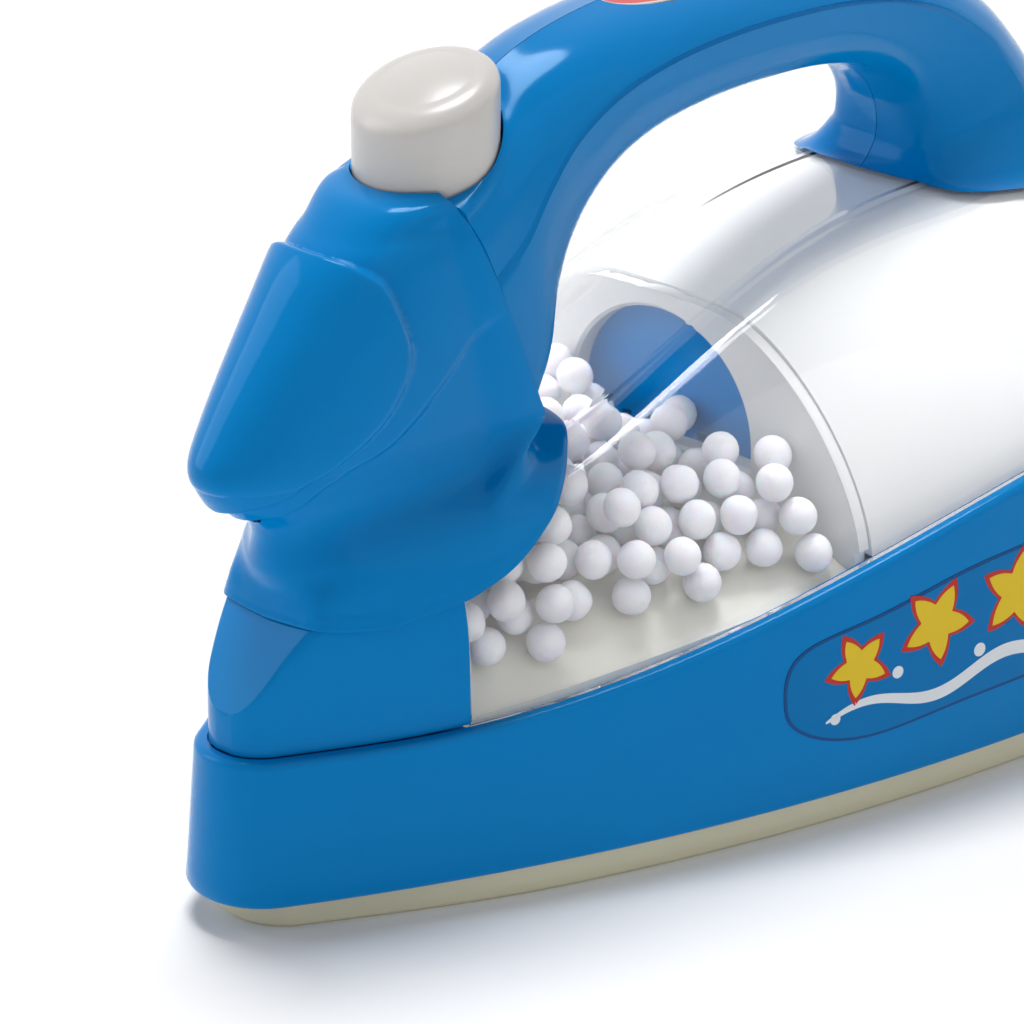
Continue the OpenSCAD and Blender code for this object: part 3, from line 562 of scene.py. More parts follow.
class Finish(Enum):
    """Every finish on the toy."""

    # A polished mould gives an even deep blue with soft highlights that keep some of its blue.
    BLUE = Moulded("blue polystyrene, gloss moulding", "#0083CC", "#007CC2", (0.08, 0.14), 1.3,
                   sheen="#8CC4F2")
    # Polypropylene looks waxy: broad dull light, no clear reflections.
    CREAM = Moulded("cream polypropylene, satin moulding", "#E4DFC2", "#DED8B9", (0.3, 0.45), 1.49,
                    25.0, 0.6, 0.05)
    # The tray is the same plastic with less dye, so it reads nearly white under the beads.
    TRAY = Moulded("pale cream polypropylene, satin moulding", "#E6E3D8", "#E0DDD1", (0.3, 0.45), 1.49,
                   25.0, 0.6, 0.05)
    # A warm off-white with one soft highlight along each rounded edge.
    WHITE = Moulded("white polystyrene, gloss moulding", "#D3D0CC", "#CDCAC6", (0.2, 0.3), 1.45,
                    20.0, 0.7, 0.03)
    # A satin white that spreads light inside the clear tank.
    LINER = Moulded("white polystyrene, satin moulding", "#E3E3E2", "#DCDCDC", (0.3, 0.42), 1.45,
                    28.0, 0.8, 0.04)
    # Blown cells scatter light, so the shaded side stays soft. They are drawn coarse so that they show.
    FOAM = Moulded("expanded polystyrene bead", "#F1F1F5", "#E9E9EF", (0.5, 0.7), 1.3, 2.5, 0.5, 0.35,
                   glow=0.6)
    # The badge and the red lead: full colour with a small sharp highlight.
    RED = Moulded("red polystyrene, gloss moulding", "#D6352B", "#CE2F26", (0.12, 0.2), 1.45)
    # Nylon with no polish: dark grey light and no reflections.
    BLACK = Moulded("black nylon, matt moulding", "#232325", "#1D1D1F", (0.45, 0.6), 1.5)
    # Thin film drawn tight over a can: smooth gloss along the cell.
    CELL = Moulded("green shrink film on a dry cell", "#3C7A48", "#356E41", (0.2, 0.3), 1.5)
    # See the class: what lies behind stays visible, and edges catch bright lines.
    CLEAR = ClearMoulding()
    # See the class: grey metal, brighter and duller by the grain.
    STEEL = Plated()
    # Vinyl lies flat with a film's gloss, a shade deeper than the skirt behind it.
    FILM = Moulded("blue vinyl sticker, printed", "#0678BE", "#0472B4", (0.16, 0.24), 1.3, sheen="#8CC4F2")
    # The inks share the film's gloss and differ in colour alone.
    EDGE = Moulded("dark blue print on vinyl", "#0B4F8E", "#0A4A86", (0.16, 0.24), 1.27)
    YELLOW = Moulded("yellow print on vinyl", "#EBCB2E", "#E6C426", (0.16, 0.24), 1.27)
    CRIMSON = Moulded("red print on vinyl", "#C6372C", "#BE3128", (0.16, 0.24), 1.27)
    CHALK = Moulded("white print on vinyl", "#E9EEF2", "#E4EAEF", (0.16, 0.24), 1.27)


class Paints:
    """Materials made once each."""

    made: dict[Finish, bpy.types.Material] = {}

    @classmethod
    def get(cls, finish: Finish) -> bpy.types.Material:
        """The material of a finish, built at its first use.

        Args:
            finish: which finish.

        Returns:
            Its material.
        """
        if finish not in cls.made:
            cls.made[finish] = finish.value.build()
        return cls.made[finish]


def dress(obj: bpy.types.Object, *finishes: Finish) -> None:
    """Gives an object its finishes, one per material slot, in order.

    Args:
        obj: the piece.
        finishes: its finishes.
    """
    if len(obj.data.materials):
        obj.data.materials.clear()
    for finish in finishes:
        obj.data.materials.append(Paints.get(finish))


def settle(obj: bpy.types.Object, finishes: Sequence[Finish], node: Optional[str] = None,
           body: Body = Body.SHELL) -> None:
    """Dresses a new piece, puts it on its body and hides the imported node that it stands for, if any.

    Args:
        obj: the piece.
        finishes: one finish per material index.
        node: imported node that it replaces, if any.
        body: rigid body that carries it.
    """
    dress(obj, *finishes)
    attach(obj, body.value)
    if node:
        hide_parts(node)
    LOG.info("%s: %d faces", obj.name, len(obj.data.polygons))


@dataclass
class Base:
    """Skirt and soleplate."""

    lean: float = 1.5
    wall: float = 2.4
    wall_splay: tuple = (0.5, 1.5)
    mouth: float = 6.1
    mouth_bevel: tuple = (0.3, 0.4)
    ledge_in: tuple = (3.3, 3.38)
    ledge_drop: float = 0.9
    foot_in: tuple = (0.9, 0.55, 0.2, 0.0)
    foot_up: tuple = (0.0, 0.1, 0.35, 0.8)
    round_r: float = 1.1
    sole_inset: float = 1.4
    sole_core: float = 8.0
    sole_back: float = 3.6
    sole_run: float = 45.0
    sole_round: float = 0.8
    bay: tuple = (101.0, 160.5, 15.0)
    door_lap: float = 1.5
    door_tail: float = 10.6
    door_high: float = 2.52
    screws: tuple = (0.2, 0.62, 0.9)
    screw_r: float = 2.95
    screw_high: float = 2.15
    boss_inset: float = 5.15

    def skirt(self) -> bpy.types.Object:
        """Closed profile carried round the outline: foot, leaning wall, rounded rim, ledge and inner wall."""
        q = np.linspace(0, math.pi / 2, 9)
        flank = np.linspace(0, 1, 8)[1:-1]
        r, drop = self.round_r, self.ledge_drop
        bevel_in, bevel_down = self.mouth_bevel
        splay_in, splay_up = self.wall_splay
        d = np.concatenate([self.foot_in, self.lean * flank, self.lean + r * (1 - np.cos(q)), self.ledge_in,
                            [self.mouth, self.mouth + bevel_in, self.wall + splay_in, self.wall]])
        rings = np.stack([TANK.plan.ring(v) for v in d], 1)
        top = TANK.rim(TANK.plan.ring(0)[:, 0])[:, None]
        share = np.concatenate([np.zeros(4), flank, np.ones(13), np.zeros(2)])[None]
        fixed = np.concatenate([self.foot_up, np.zeros(6), r * np.sin(q) - r,
                                [0, -drop, -drop, -drop - bevel_down, splay_up, 0]])[None]
        z = share * (top - np.where(share < 1, r, 0)) + fixed
        return loft("skirt_shell", np.concatenate([rings, z[:, :, None]], 2), ring=True, crease=50)

    def soleplate(self) -> bpy.types.Object:
        """Outline plate with softened lower edge, cut for the battery bay, its door and the screws."""
        q = np.linspace(0, math.pi / 2, 7)
        r = self.sole_round
        d = np.concatenate([[self.sole_core], self.sole_inset + r * (1 - np.sin(q)),
                            [self.sole_inset, self.sole_core]])
        z = np.concatenate([[-SOLE], -SOLE + r * (1 - np.cos(q)), [0.0, 0.0]])
        rings = np.stack([TANK.plan.ring(v) for v in d])
        rings[:, :, 0] += self.sole_back * (1 - eased(rings[:, :, 0] / self.sole_run))
        loops = np.concatenate([rings, np.broadcast_to(z[:, None, None], rings.shape[:2] + (1,))], 2)
        obj = loft("sole_plate", loops, crease=40)
        low, high, half = self.bay
        under = -SOLE - 1
        carve(obj, brick("cut_bay", (low, high), half, (under, 1)))
        carve(obj, brick("cut_door", (low - self.door_lap, high + self.door_tail), half + self.door_lap,
                         (under, -SOLE + self.door_high)))
        for share in self.screws:
            x = share * TANK.plan.length
            y = float(TANK.plan.half(np.array(x), self.boss_inset))
            for side in (-1, 1):
                carve(obj, rod("cut_screw", x, side * y, self.screw_r, under, -SOLE + self.screw_high))
        return obj

    def build(self) -> None:
        """Makes the skirt and the soleplate."""
        settle(self.skirt(), [Finish.BLUE], "base_skirt")
        settle(self.soleplate(), [Finish.CREAM], "soleplate")


@dataclass
class Sticker:
    """Printed film on the near flank of the skirt: stars over a ribbon, drawn as thin sheets on it."""

    middle: tuple = (110.0, 18.3)
    half: tuple = (37.5, 9.6)
    climb: float = 0.06
    border: float = 0.45
    star_border: float = 1.15
    stars: tuple = ((84.5, 18.5, 4.6), (97.5, 21.6, 5.6), (112.0, 22.6, 6.2), (126.5, 21.8, 5.6),
                    (138.5, 18.8, 4.4))
    dots: tuple = ((80.5, 11.6, 0.8), (90.8, 16.0, 0.9), (105.0, 15.6, 1.0), (119.0, 15.8, 1.0),
                   (133.0, 15.6, 0.9))
    ribbon_from: tuple = (79.0, 11.4)
    ribbon_long: float = 61.0
    ribbon_climb: float = 0.05
    ribbon_wave: tuple = (1.3, 2.5)
    lean: float = 1.5
    rim_round: float = 1.1
    verts: list = field(default_factory=list)
    faces: list = field(default_factory=list)
    prints: list = field(default_factory=list)

    def on_skirt(self, flat: Array, lift: float) -> Array:
        """Places put on the leaning near wall: the outline's half width less the lean at that height.

        Args:
            flat: places of station and height.
            lift: how far outside the wall.

        Returns:
            Points in maker's millimetres.
        """
        x, z = flat[..., 0], flat[..., 1]
        lean = self.lean * z / (TANK.rim(x) - self.rim_round)
        return np.stack([x, -(TANK.plan.half(x, 0) - lean + lift), z], -1)

    def sheet(self, grid: Array, low: float, high: float, ink: int, wrap: bool) -> None:
        """Adds a thin closed sheet: the grid at high, the same at low, and a wall between their edges.

        Args:
            grid: (rows, columns, 2) places, the rows running from the first edge to the last.
            low: lift of the under side.
            high: lift of the upper side.
            ink: material index.
            wrap: the columns close on themselves, as on a round patch.
        """
        rows, cols = grid.shape[:2]
        first = sum(len(v) for v in self.verts)
        both = np.concatenate([self.on_skirt(grid, high), self.on_skirt(grid[::-1], low)])
        faces = grid_faces(2 * rows, cols, True, wrap)
        if not wrap:
            i = np.arange(rows - 1)
            ends = np.stack([i, i + 1, 2 * rows - 2 - i, 2 * rows - 1 - i], 1) * cols
            faces = np.concatenate([faces, ends, (ends + cols - 1)[:, ::-1]])
        if closed_volume(both.reshape(-1, 3) - both.mean((0, 1)), faces.tolist()) < 0:
            faces = faces[:, ::-1]
        self.verts.append(both.reshape(-1, 3))
        self.faces += (faces + first).tolist()
        self.prints += [ink] * len(faces)

    def patch(self, loop: Array, low: float, high: float, ink: int, rings: int = 6) -> None:
        """Adds a round sheet: rings shrinking from the loop to a pinhole at its middle.

        Args:
            loop: edge of the sheet.
            low: lift of the under side.
            high: lift of the upper side.
            ink: material index.
            rings: how many rings.
        """
        middle = loop.mean(0)
        share = np.linspace(1, 0.01, rings)[:, None, None]
        self.sheet(middle + (loop[None] - middle) * share, low, high, ink, True)

    def outline(self, grow: float) -> Array:
        """Edge of the film: a flattened oval with five soft lobes, climbing with the skirt.

        Args:
            grow: how much larger than the film.

        Returns:
            Places of station and height.
        """
        q = np.linspace(0, 2 * math.pi, 160, endpoint=False)
        x = (self.half[0] + grow) * power(np.cos(q), 0.8) * (1 + 0.015 * np.cos(5 * q))
        z = (self.half[1] + grow + 0.8 * np.sin(5 * q + 0.4)) * power(np.sin(q), 0.75)
        return np.stack([self.middle[0] + x, self.middle[1] + z + self.climb * x], 1)

    def star(self, x: float, z: float, r: float) -> Array:
        """Five-pointed star: a reach that rises and falls five times round, lightly turned.

        Args:
            x: station of its middle.
            z: height of its middle.
            r: reach of its tips.

        Returns:
            Places of station and height.
        """
        q = np.linspace(0, 2 * math.pi, 100, endpoint=False)
        near = np.abs((q * 5 / math.pi) % 2 - 1)
        reach = r * (0.5 + 0.5 * near ** 1.3)
        a = q + 0.35 + 0.02 * x
        return np.stack([x + reach * np.cos(a), z + reach * np.sin(a)], 1)

    def ribbon(self, low: float, high: float, ink: int) -> None:
        """A waving white band that narrows to both ends: a sine about a climbing line.

        Args:
            low: lift of the under side.
            high: lift of the upper side.
            ink: material index.
        """
        t = np.linspace(0, 1, 90)
        start, foot = self.ribbon_from
        swing, waves = self.ribbon_wave
        x = start + self.ribbon_long * t
        z = foot + self.ribbon_climb * (x - start) + swing * np.sin(t * 2 * math.pi * waves)
        w = 0.15 + 0.85 * np.sin(t * math.pi) ** 0.6
        share = np.linspace(-1, 1, 4)[:, None]
        self.sheet(np.stack([np.broadcast_to(x, (4, 90)), z + w * share], 2), low, high, ink, False)

    def build(self) -> None:
        """Lays border, film, ribbon, stars and dots over one another, each layer a little higher."""
        self.patch(self.outline(self.border), -0.1, 0.06, 1, 24)
        self.patch(self.outline(0), -0.1, 0.1, 0, 24)
        self.ribbon(0.0, 0.13, 4)
        for x, z, r in self.stars:
            self.patch(self.star(x, z, r + self.star_border), 0.0, 0.13, 3)
            self.patch(self.star(x, z, r), 0.0, 0.16, 2)
        q = np.linspace(0, 2 * math.pi, 24, endpoint=False)
        for x, z, r in self.dots:
            self.patch(np.stack([x + r * np.cos(q), z + r * np.sin(q)], 1), 0.0, 0.13, 4, 3)
        obj = solid("side_sticker", placed(np.concatenate(self.verts)), self.faces, 60, np.array(self.prints))
        settle(obj, [Finish.FILM, Finish.EDGE, Finish.YELLOW, Finish.CRIMSON, Finish.CHALK])


@dataclass
class Works:
    """The clear tank, its blue ends, and what shows inside it."""

    nose_split: float = 31.006
    heel_split: float = 162.0
    bulkhead: float = 87.997
    bulkhead_wall: float = 2.0
    liner: float = 1.6
    arch_half: float = 16.3
    arch_drop: float = 4.2
    arch_wall: float = 1.4
    lip: float = 1.2
    arch_spring: float = 2.9
    arch_eye: float = 45.0
    arch_soft: float = 0.5
    tray_crown: float = 8.0
    tray_wall: float = 1.6
    tray_inset: float = 6.22
    tray_drop: float = 0.4
    tray_climb: float = 0.155
    tray_slope: float = 0.55
    pass_at: float = 138.797
    pass_r: float = 4.0
    pass_cut: tuple = (45, 90)
    sink: float = 0.9
    end_inset: float = 3.65
    swell: float = 0.03

    def block(self, name: str, x: Array) -> bpy.types.Object:
        """Solid end of the tank: sections at the given stations, closed below."""
        return loft(name, stationed(x, TANK.rib(x, 0)), crease=40)

    def shell(self, name: str, x: Array, outer: float, inner: float) -> bpy.types.Object:
        """Thin wall between two insets of the tank's surface, with the hole for the leads.

        Args:
            name: object name.
            x: stations.
            outer: inset of the outer side.
            inner: inset of the inner side.

        Returns:
            The object, its foot let into the skirt's ledge.
        """
        skin, lining = (TANK.rib(x, t, sink=self.sink) for t in (outer, inner))
        loops = np.concatenate([skin, lining[:, ::-1]], 1)
        obj = loft(name, stationed(x, loops), thin=True, crease=30)
        carve(obj, rod("cut_pass", self.pass_at, 0, self.pass_r, *self.pass_cut), crease=30)
        return obj

    def tray_edge(self, x: Array) -> Array:
        """Height of the tray's edge at stations x."""
        low = TANK.rim(np.array(self.nose_split)) - self.tray_drop
        return low + (x - self.nose_split) * self.tray_climb

    def tray(self) -> bpy.types.Object:
        """Bead tray: a low trapezoid section with softened crown carried from the nose to the bulkhead."""
        x = np.linspace(self.nose_split + SEAT, self.bulkhead - SEAT, 40)
        e = TANK.plan.half(x, self.tray_inset)[:, None]
        u = np.linspace(-1, 1, 61)[None]
        ramp = np.clip((1 - np.abs(u)) / self.tray_slope, 0, 1)
        ramp = np.where(ramp > 0.9, 1 - (1 - ramp) ** 2 * 5, ramp)
        low = self.tray_edge(x)[:, None]
        top = np.stack([e * u, low + self.tray_crown * np.minimum(ramp, 1.0) + 0 * e], 2)
        under = top[:, ::-1] - [0, self.tray_wall]
        return loft("tray_floor", stationed(x, np.concatenate([top, under], 1)), thin=True, crease=25)

    def arch(self, grow: float, angle: Array) -> Array:
        """Arch outline: a half ellipse on short upright sides and a level sill.

        Args:
            grow: how much larger than the opening.
            angle: angles about the arch's middle.

        Returns:
            Places of y and z at the angles.
        """
        sill = float(self.tray_edge(np.array(self.bulkhead))) + self.tray_crown + self.tray_wall
        spring = sill + self.arch_spring
        top = float(TANK.crest(np.array(self.bulkhead))) - self.arch_drop
        half, foot = self.arch_half + grow, sill - grow
        a = np.linspace(0, math.pi, 181)
        loop = np.concatenate([np.stack([half * np.cos(a), spring + (top + grow - spring) * np.sin(a)], 1),
                               np.linspace([-half, spring], [-half, foot], 8)[1:],
                               np.linspace([-half, foot], [half, foot], 60)[1:],
                               np.linspace([half, foot], [half, spring], 8)[1:-1]])
        return self.spoke(loop, angle)

    def spoke(self, loop: Array, angle: Array) -> Array:
        """Resamples a loop that is star-shaped about the arch's middle at the given angles.

        Args:
            loop: places of y and z.
            angle: angles about the arch's middle.

        Returns:
            Places on the loop, at radii between those of the neighbouring points.
        """
        middle = np.array([0.0, self.arch_eye])
        rel = loop - middle
        theta = np.unwrap(np.arctan2(rel[:, 1], rel[:, 0]))
        order = np.argsort(theta % (2 * math.pi))
        t, r = (theta % (2 * math.pi))[order], np.linalg.norm(rel, axis=1)[order]
        radius = np.interp(angle, np.concatenate([t - 2 * math.pi, t, t + 2 * math.pi]), np.tile(r, 3))
        return middle + radius[:, None] * np.stack([np.cos(angle), np.sin(angle)], 1)

    def wall(self) -> bpy.types.Object:
        """Bulkhead: a closed profile (face, edge, back, lip) carried round the arch at equal angles."""
        angle = np.linspace(0, 2 * math.pi, 360, endpoint=False)
        x0 = self.bulkhead
        x1 = x0 + self.bulkhead_wall
        x2 = x1 + self.lip
        rib = TANK.rib(np.array([x0]), TANK.wall + SEAT, 60)[0]
        ledge = float(TANK.rim(np.array(x1))) + SEAT
        foot = float(TANK.plan.half(np.array(x0), self.tray_inset))
        low = float(self.tray_edge(np.array(x0))) - self.tray_wall
        body = rib[rib[:, 1] > ledge]
        side = np.array([[-foot, low], [-foot, ledge], [-abs(rib[0, 0]), ledge]])
        base = np.linspace([foot, low], [-foot, low], 60)[1:-1]
        loop = np.concatenate([side, body, side[::-1] * [-1, 1], base])
        outer = self.spoke(loop, angle)
        inner, lip = self.arch(0, angle), self.arch(self.arch_wall, angle)
        soft = self.arch(self.arch_soft, angle)
        profile = [(soft, x0), (outer, x0), (outer, x1), (lip, x1), (lip, x2), (inner, x2),
                   (inner, x0 + self.arch_soft)]
        loops = np.stack([np.concatenate([np.full((len(angle), 1), x), p], 1) for p, x in profile], 1)
        return loft("bulkhead_wall", loops, ring=True, crease=30)

    def bead_places(self) -> tuple[Array, float]:
        """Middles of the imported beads: points of touching triangles take one label, and a label is a bead.

        Returns:
            Middles in metres as (beads, 3), and the beads' common radius.
        """
        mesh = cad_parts["foam_beads"].data
        co = np.empty(len(mesh.vertices) * 3)
        mesh.vertices.foreach_get("co", co)
        co = co.reshape(-1, 3)
        tri = np.empty(len(mesh.loops), np.int64)
        mesh.loops.foreach_get("vertex_index", tri)
        _, same = np.unique(np.round(co * 1e6).astype(np.int64), axis=0, return_inverse=True)
        same = same.reshape(-1)
        ends = same[tri.reshape(-1, 3)]
        label, old = np.arange(same.max() + 1), None
        while old is None or not np.array_equal(label, old):
            old, new, low = label, label.copy(), label[ends].min(1)
            for k in range(3):
                np.minimum.at(new, ends[:, k], low)
            label = new[new]
        groups = [co[label[same] == name] for name in np.unique(label[same])]
        centres = np.stack([(g.min(0) + g.max(0)) / 2 for g in groups])
        return centres, float(np.median([np.ptp(g[:, 2]) / 2 for g in groups]))

    def beads(self) -> bpy.types.Object:
        """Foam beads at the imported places: spheres with a low swell along a random axis, no two alike."""
        centres, radius = self.bead_places()
        lat, lon = np.linspace(0, math.pi, 13)[1:-1], np.linspace(0, 2 * math.pi, 22, endpoint=False)
        flat, high = np.sin(lat)[:, None], np.cos(lat)[:, None]
        ball = np.stack(np.broadcast_arrays(flat * np.cos(lon), flat * np.sin(lon), high), 2)
        unit = np.concatenate([ball.reshape(-1, 3), [[0, 0, 1], [0, 0, -1]]])
        rows, cols = len(lat), len(lon)
        j, north, last = np.arange(cols), rows * cols, (rows - 1) * cols
        shape = grid_faces(rows, cols, False, True).tolist()
        shape += np.stack([np.full(cols, north), (j + 1) % cols, j], 1).tolist()
        shape += np.stack([np.full(cols, north + 1), last + j, last + (j + 1) % cols], 1).tolist()
        rng = np.random.default_rng(7)
        verts, faces = [], []
        for n, c in enumerate(centres):
            tilt, phase = rng.normal(size=3), rng.uniform(0, 6.28)
            size = 1 - self.swell + self.swell * np.sin(unit @ tilt * 1.6 + phase)
            verts.append(c + unit * radius * size[:, None])
            faces += [tuple(i + n * len(unit) for i in f) for f in shape]
        return solid("bead_heap", np.concatenate(verts), faces, 180)

    def build(self) -> None:
        """Makes the tank, its ends, tray, bulkhead, liner and beads."""
        ease = 1 - np.cos(np.linspace(0, math.pi / 2, 48))
        x = self.end_inset + (self.nose_split - SEAT - self.end_inset) * ease
        settle(self.block("nose_end", x), [Finish.BLUE], "nose_block")
        ease = np.sin(np.linspace(0, math.pi / 2, 40))
        x = self.heel_split + SEAT
        x = x + (TANK.plan.length - self.end_inset - x) * ease
        settle(self.block("heel_end", x), [Finish.BLUE], "heel_block")
        x = np.linspace(self.nose_split, self.heel_split, 110)
        settle(self.shell("clear_tank", x, 0, TANK.wall), [Finish.CLEAR], "tank_dome")
        x = np.linspace(self.bulkhead + self.bulkhead_wall + SEAT, self.heel_split, 60)
        inner = TANK.wall + SEAT
        liner = self.shell("inner_liner", x, inner, inner + self.liner)
        settle(liner, [Finish.LINER], "inner_cover")
        settle(self.tray(), [Finish.TRAY], "bead_tray")
        settle(self.wall(), [Finish.LINER], "bulkhead")
        settle(self.beads(), [Finish.FOAM], "foam_beads")


@dataclass
class Head:
    """Head cover: rings from the flared rim over the neck and chin to the crown, with a raised face panel."""

    wall: float = 1.8
    half: float = 13.7
    bell: float = 20.3
    high: float = 107.3
    front: tuple = (0.058, 0.047, 0.0225, 0.007, 0.0038, 0.0194, 0.043, 0.0683, 0.0946, 0.118, 0.146, 0.178)
    square: tuple = (2.0, 2.05, 2.1, 2.2, 2.2, 2.2, 2.2, 2.2, 2.2, 2.2, 2.2, 2.2)
    mid: tuple = (0.215, 0.242, 0.263)
    back: tuple = (0.081, 0.038, 0.0134)
    blend: tuple = (0, 0.07, 0.3, 0.55, 0.78)
    wide: tuple = (0.956, 0.97, 0.99, 1, 0.99, 0.95, 0.88, 0.775, 0.6)
    flare: tuple = (0.8, 0.7, 0.665)
    lift: tuple = (0.5405, 0.5685, 0.615, 0.671, 0.727, 0.783, 0.815, 0.838, 0.8527)
    turns: tuple = (0, 10, 19, 25, 39, 50, 63, 75, 93, 113, 126, 142, 157, 180)
    rim_x: tuple = (0.0613, 0.0624, 0.067, 0.0815, 0.1125, 0.1331, 0.1542, 0.1744, 0.2074, 0.2451, 0.2678,
                    0.2946, 0.316, 0.3258)
    rim_y: tuple = (0, 0.2186, 0.4289, 0.5238, 0.6816, 0.766, 0.8502, 0.9152, 0.9753, 0.9454, 0.8493,
                    0.6612, 0.4394, 0)
    rim_z: tuple = (0.54, 0.5429, 0.5444, 0.5371, 0.5328, 0.5429, 0.5546, 0.5706, 0.6099, 0.6696, 0.706,
                    0.7438, 0.7715, 0.7831)
    rim_mid: float = 0.2016
    rim_round: float = 0.35
    rim_lift: float = 0.3
    seam_at: float = 0.273
    seam_lean: float = 0.44
    bore: tuple = (42.0, 10.05, 78.0, 120.0)
    hollow: float = 3.4
    hollow_from: float = 0.4
    hollow_to: float = 12.0
    hollow_foot: float = 14.0
    face_step: float = 1.4
    face_round: float = 1.2
    band_step: float = 1.0
    band_round: float = 0.9
    level_mm: float = 5.0
    degree_mm: float = 0.24
    face_line: tuple = ((4.1, 0), (4.25, 16), (4.73, 36), (6.33, 56.5), (7.62, 64), (8.4, 63.5), (9.3, 57),
                        (9.88, 48.5), (10.45, 28), (10.62, 12), (10.65, 0))
    band_line: tuple = ((3.5, 0), (3.6, 14), (3.98, 32), (5.3, 57.5), (7.2, 75), (8.1, 84), (8.6, 92),
                        (9.3, 120), (13.2, 150))

    def turn(self, a: Array) -> Array:
        """Ring angles as degrees from the front, alike on both sides."""
        return np.abs(np.degrees(np.arctan2(np.sin(a), np.cos(a))))

    def rim(self, a: Array, t: Array) -> Array:
        """Places of the flared rim: its table at each turn, drawn in towards the rim's middle.

        Args:
            a: ring angles.
            t: how far it is drawn in.

        Returns:
            Places of x and y.
        """
        length, turn = TANK.plan.length, self.turn(a)
        p = np.stack([length * hermite(self.turns, self.rim_x, turn),
                      np.sign(np.sin(a)) * self.bell * hermite(self.turns, self.rim_y, turn)], -1)
        inward = np.array([self.rim_mid * length, 0]) - p
        return p + inward * (t / np.linalg.norm(inward, axis=-1))[..., None]

    def rim_at(self, a: Array, x: Array, y: Array) -> Array:
        """Height of the rim: its table at each turn, lifted where the tank stands higher.

        Args:
            a: ring angles.
            x: stations.
            y: places across.

        Returns:
            Heights.
        """
        table = TANK.high * hermite(self.turns, self.rim_z, self.turn(a))
        over = np.abs(y) < TANK.plan.half(x, TANK.inset)
        return np.maximum(table, np.where(over, TANK.at(x, y), 0)) + self.rim_lift

    def spot(self, k: Array, a: Array, t: float = 0.0) -> Array:
        """Points of the cover: a superellipse in front and a half ellipse or flat seam behind.

        Below the second level the ring melts into the flared rim.

        Args:
            k: levels, counted from the rim, of the same shape as a.
            a: ring angles in radians from the front, positive on the far side.
            t: inset behind the outer surface.

        Returns:
            Points in maker's millimetres, in one more dimension.
        """
        n = np.arange(14.0)
        length = TANK.plan.length
        low = self.lift[0] * self.high
        z_top = np.array([low] * 5 + [v * self.high for v in self.lift])
        seam = self.seam_at * length - (z_top - low) * self.seam_lean
        down = lambda v: np.concatenate([[3 * v[0] - 2 * v[1], 2 * v[0] - v[1]], v])
        front = hermite(n, down(np.array(self.front)) * length, k) + t
        mid = hermite(n, down(np.concatenate([np.array(self.mid) * length, seam[5:]])), k)
        back = np.maximum(hermite(n, down(np.concatenate([np.array(self.back) * length, np.zeros(9)])), k), 0)
        halves = np.concatenate([np.array(self.flare) * self.bell, np.array(self.wide) * self.half])
        half = hermite(n, down(halves), k) - t
        blend = np.minimum(hermite(n, np.concatenate([self.blend, np.ones(9)]), k), 1)
        mid, back = np.where(back > t, mid, mid - t + back), np.where(back > t, back - t, 0)
        c, s, p = np.cos(a), np.sin(a), 2 / hermite(n, down(np.array(self.square)), k)
        x = np.where(c > 0, mid - (mid - front) * np.abs(c) ** p, mid - back * c)
        y = np.where(c > 0, half * power(s, p), half * s)
        flare = eased(2 - k)[..., None]
        edge = self.rim(a, t + self.rim_round * np.clip(k, 0, 2) ** 2)
        x, y = np.moveaxis(np.stack([x, y], -1) * (1 - flare) + edge * flare, -1, 0)
        return np.stack([x, y, self.rim_at(a, x, y) * (1 - blend) + hermite(n, z_top, k) * blend], -1)

    def level(self, k: Array, t: float, count: int = 200) -> Array:
        """Closed rings at levels k, thinned by t, as (levels, points, 3)."""
        a = np.linspace(0, 2 * math.pi, count, endpoint=False)
        return self.spot(*np.broadcast_arrays(k[:, None], a[None]), t)

    def inside(self, grid: Array, k: Array, a: Array, line: tuple, closed: bool) -> Array:
        """Distance of each grid point inside a line drawn on the cover, zero outside it.

        Args:
            grid: points of the cover.
            k: level of each point.
            a: ring angle of each point, from -pi to pi.
            line: (level, angle in degrees) pairs from the lowest point upwards, the same on both sides.
            closed: the line comes back to the middle at its top.

        Returns:
            Distances in millimetres.
        """
        key, angle = np.array(line).T
        steps = np.hypot(np.diff(key) * self.level_mm, np.diff(angle) * self.degree_mm)
        run = np.concatenate([[0], np.cumsum(steps)])
        t = np.linspace(0, run[-1], 160)
        kk, aa = hermite(run, key, t), np.radians(hermite(run, angle, t))
        edge = np.concatenate([self.spot(kk, aa), self.spot(kk, -aa)])
        flat = grid.reshape(-1, 3) - edge.mean(0)
        edge = edge - edge.mean(0)
        far = (flat ** 2).sum(1)[:, None] + (edge ** 2).sum(1)[None] - 2 * flat @ edge.T
        top = math.degrees(aa[-1]) if not closed else 0.0
        order = np.argsort(kk)
        reach = np.interp(k, kk[order], np.degrees(aa[order]), left=-1.0, right=top or -1.0)
        return np.sqrt(np.maximum(far.min(1), 0)).reshape(k.shape) * (np.abs(np.degrees(a)) < reach)

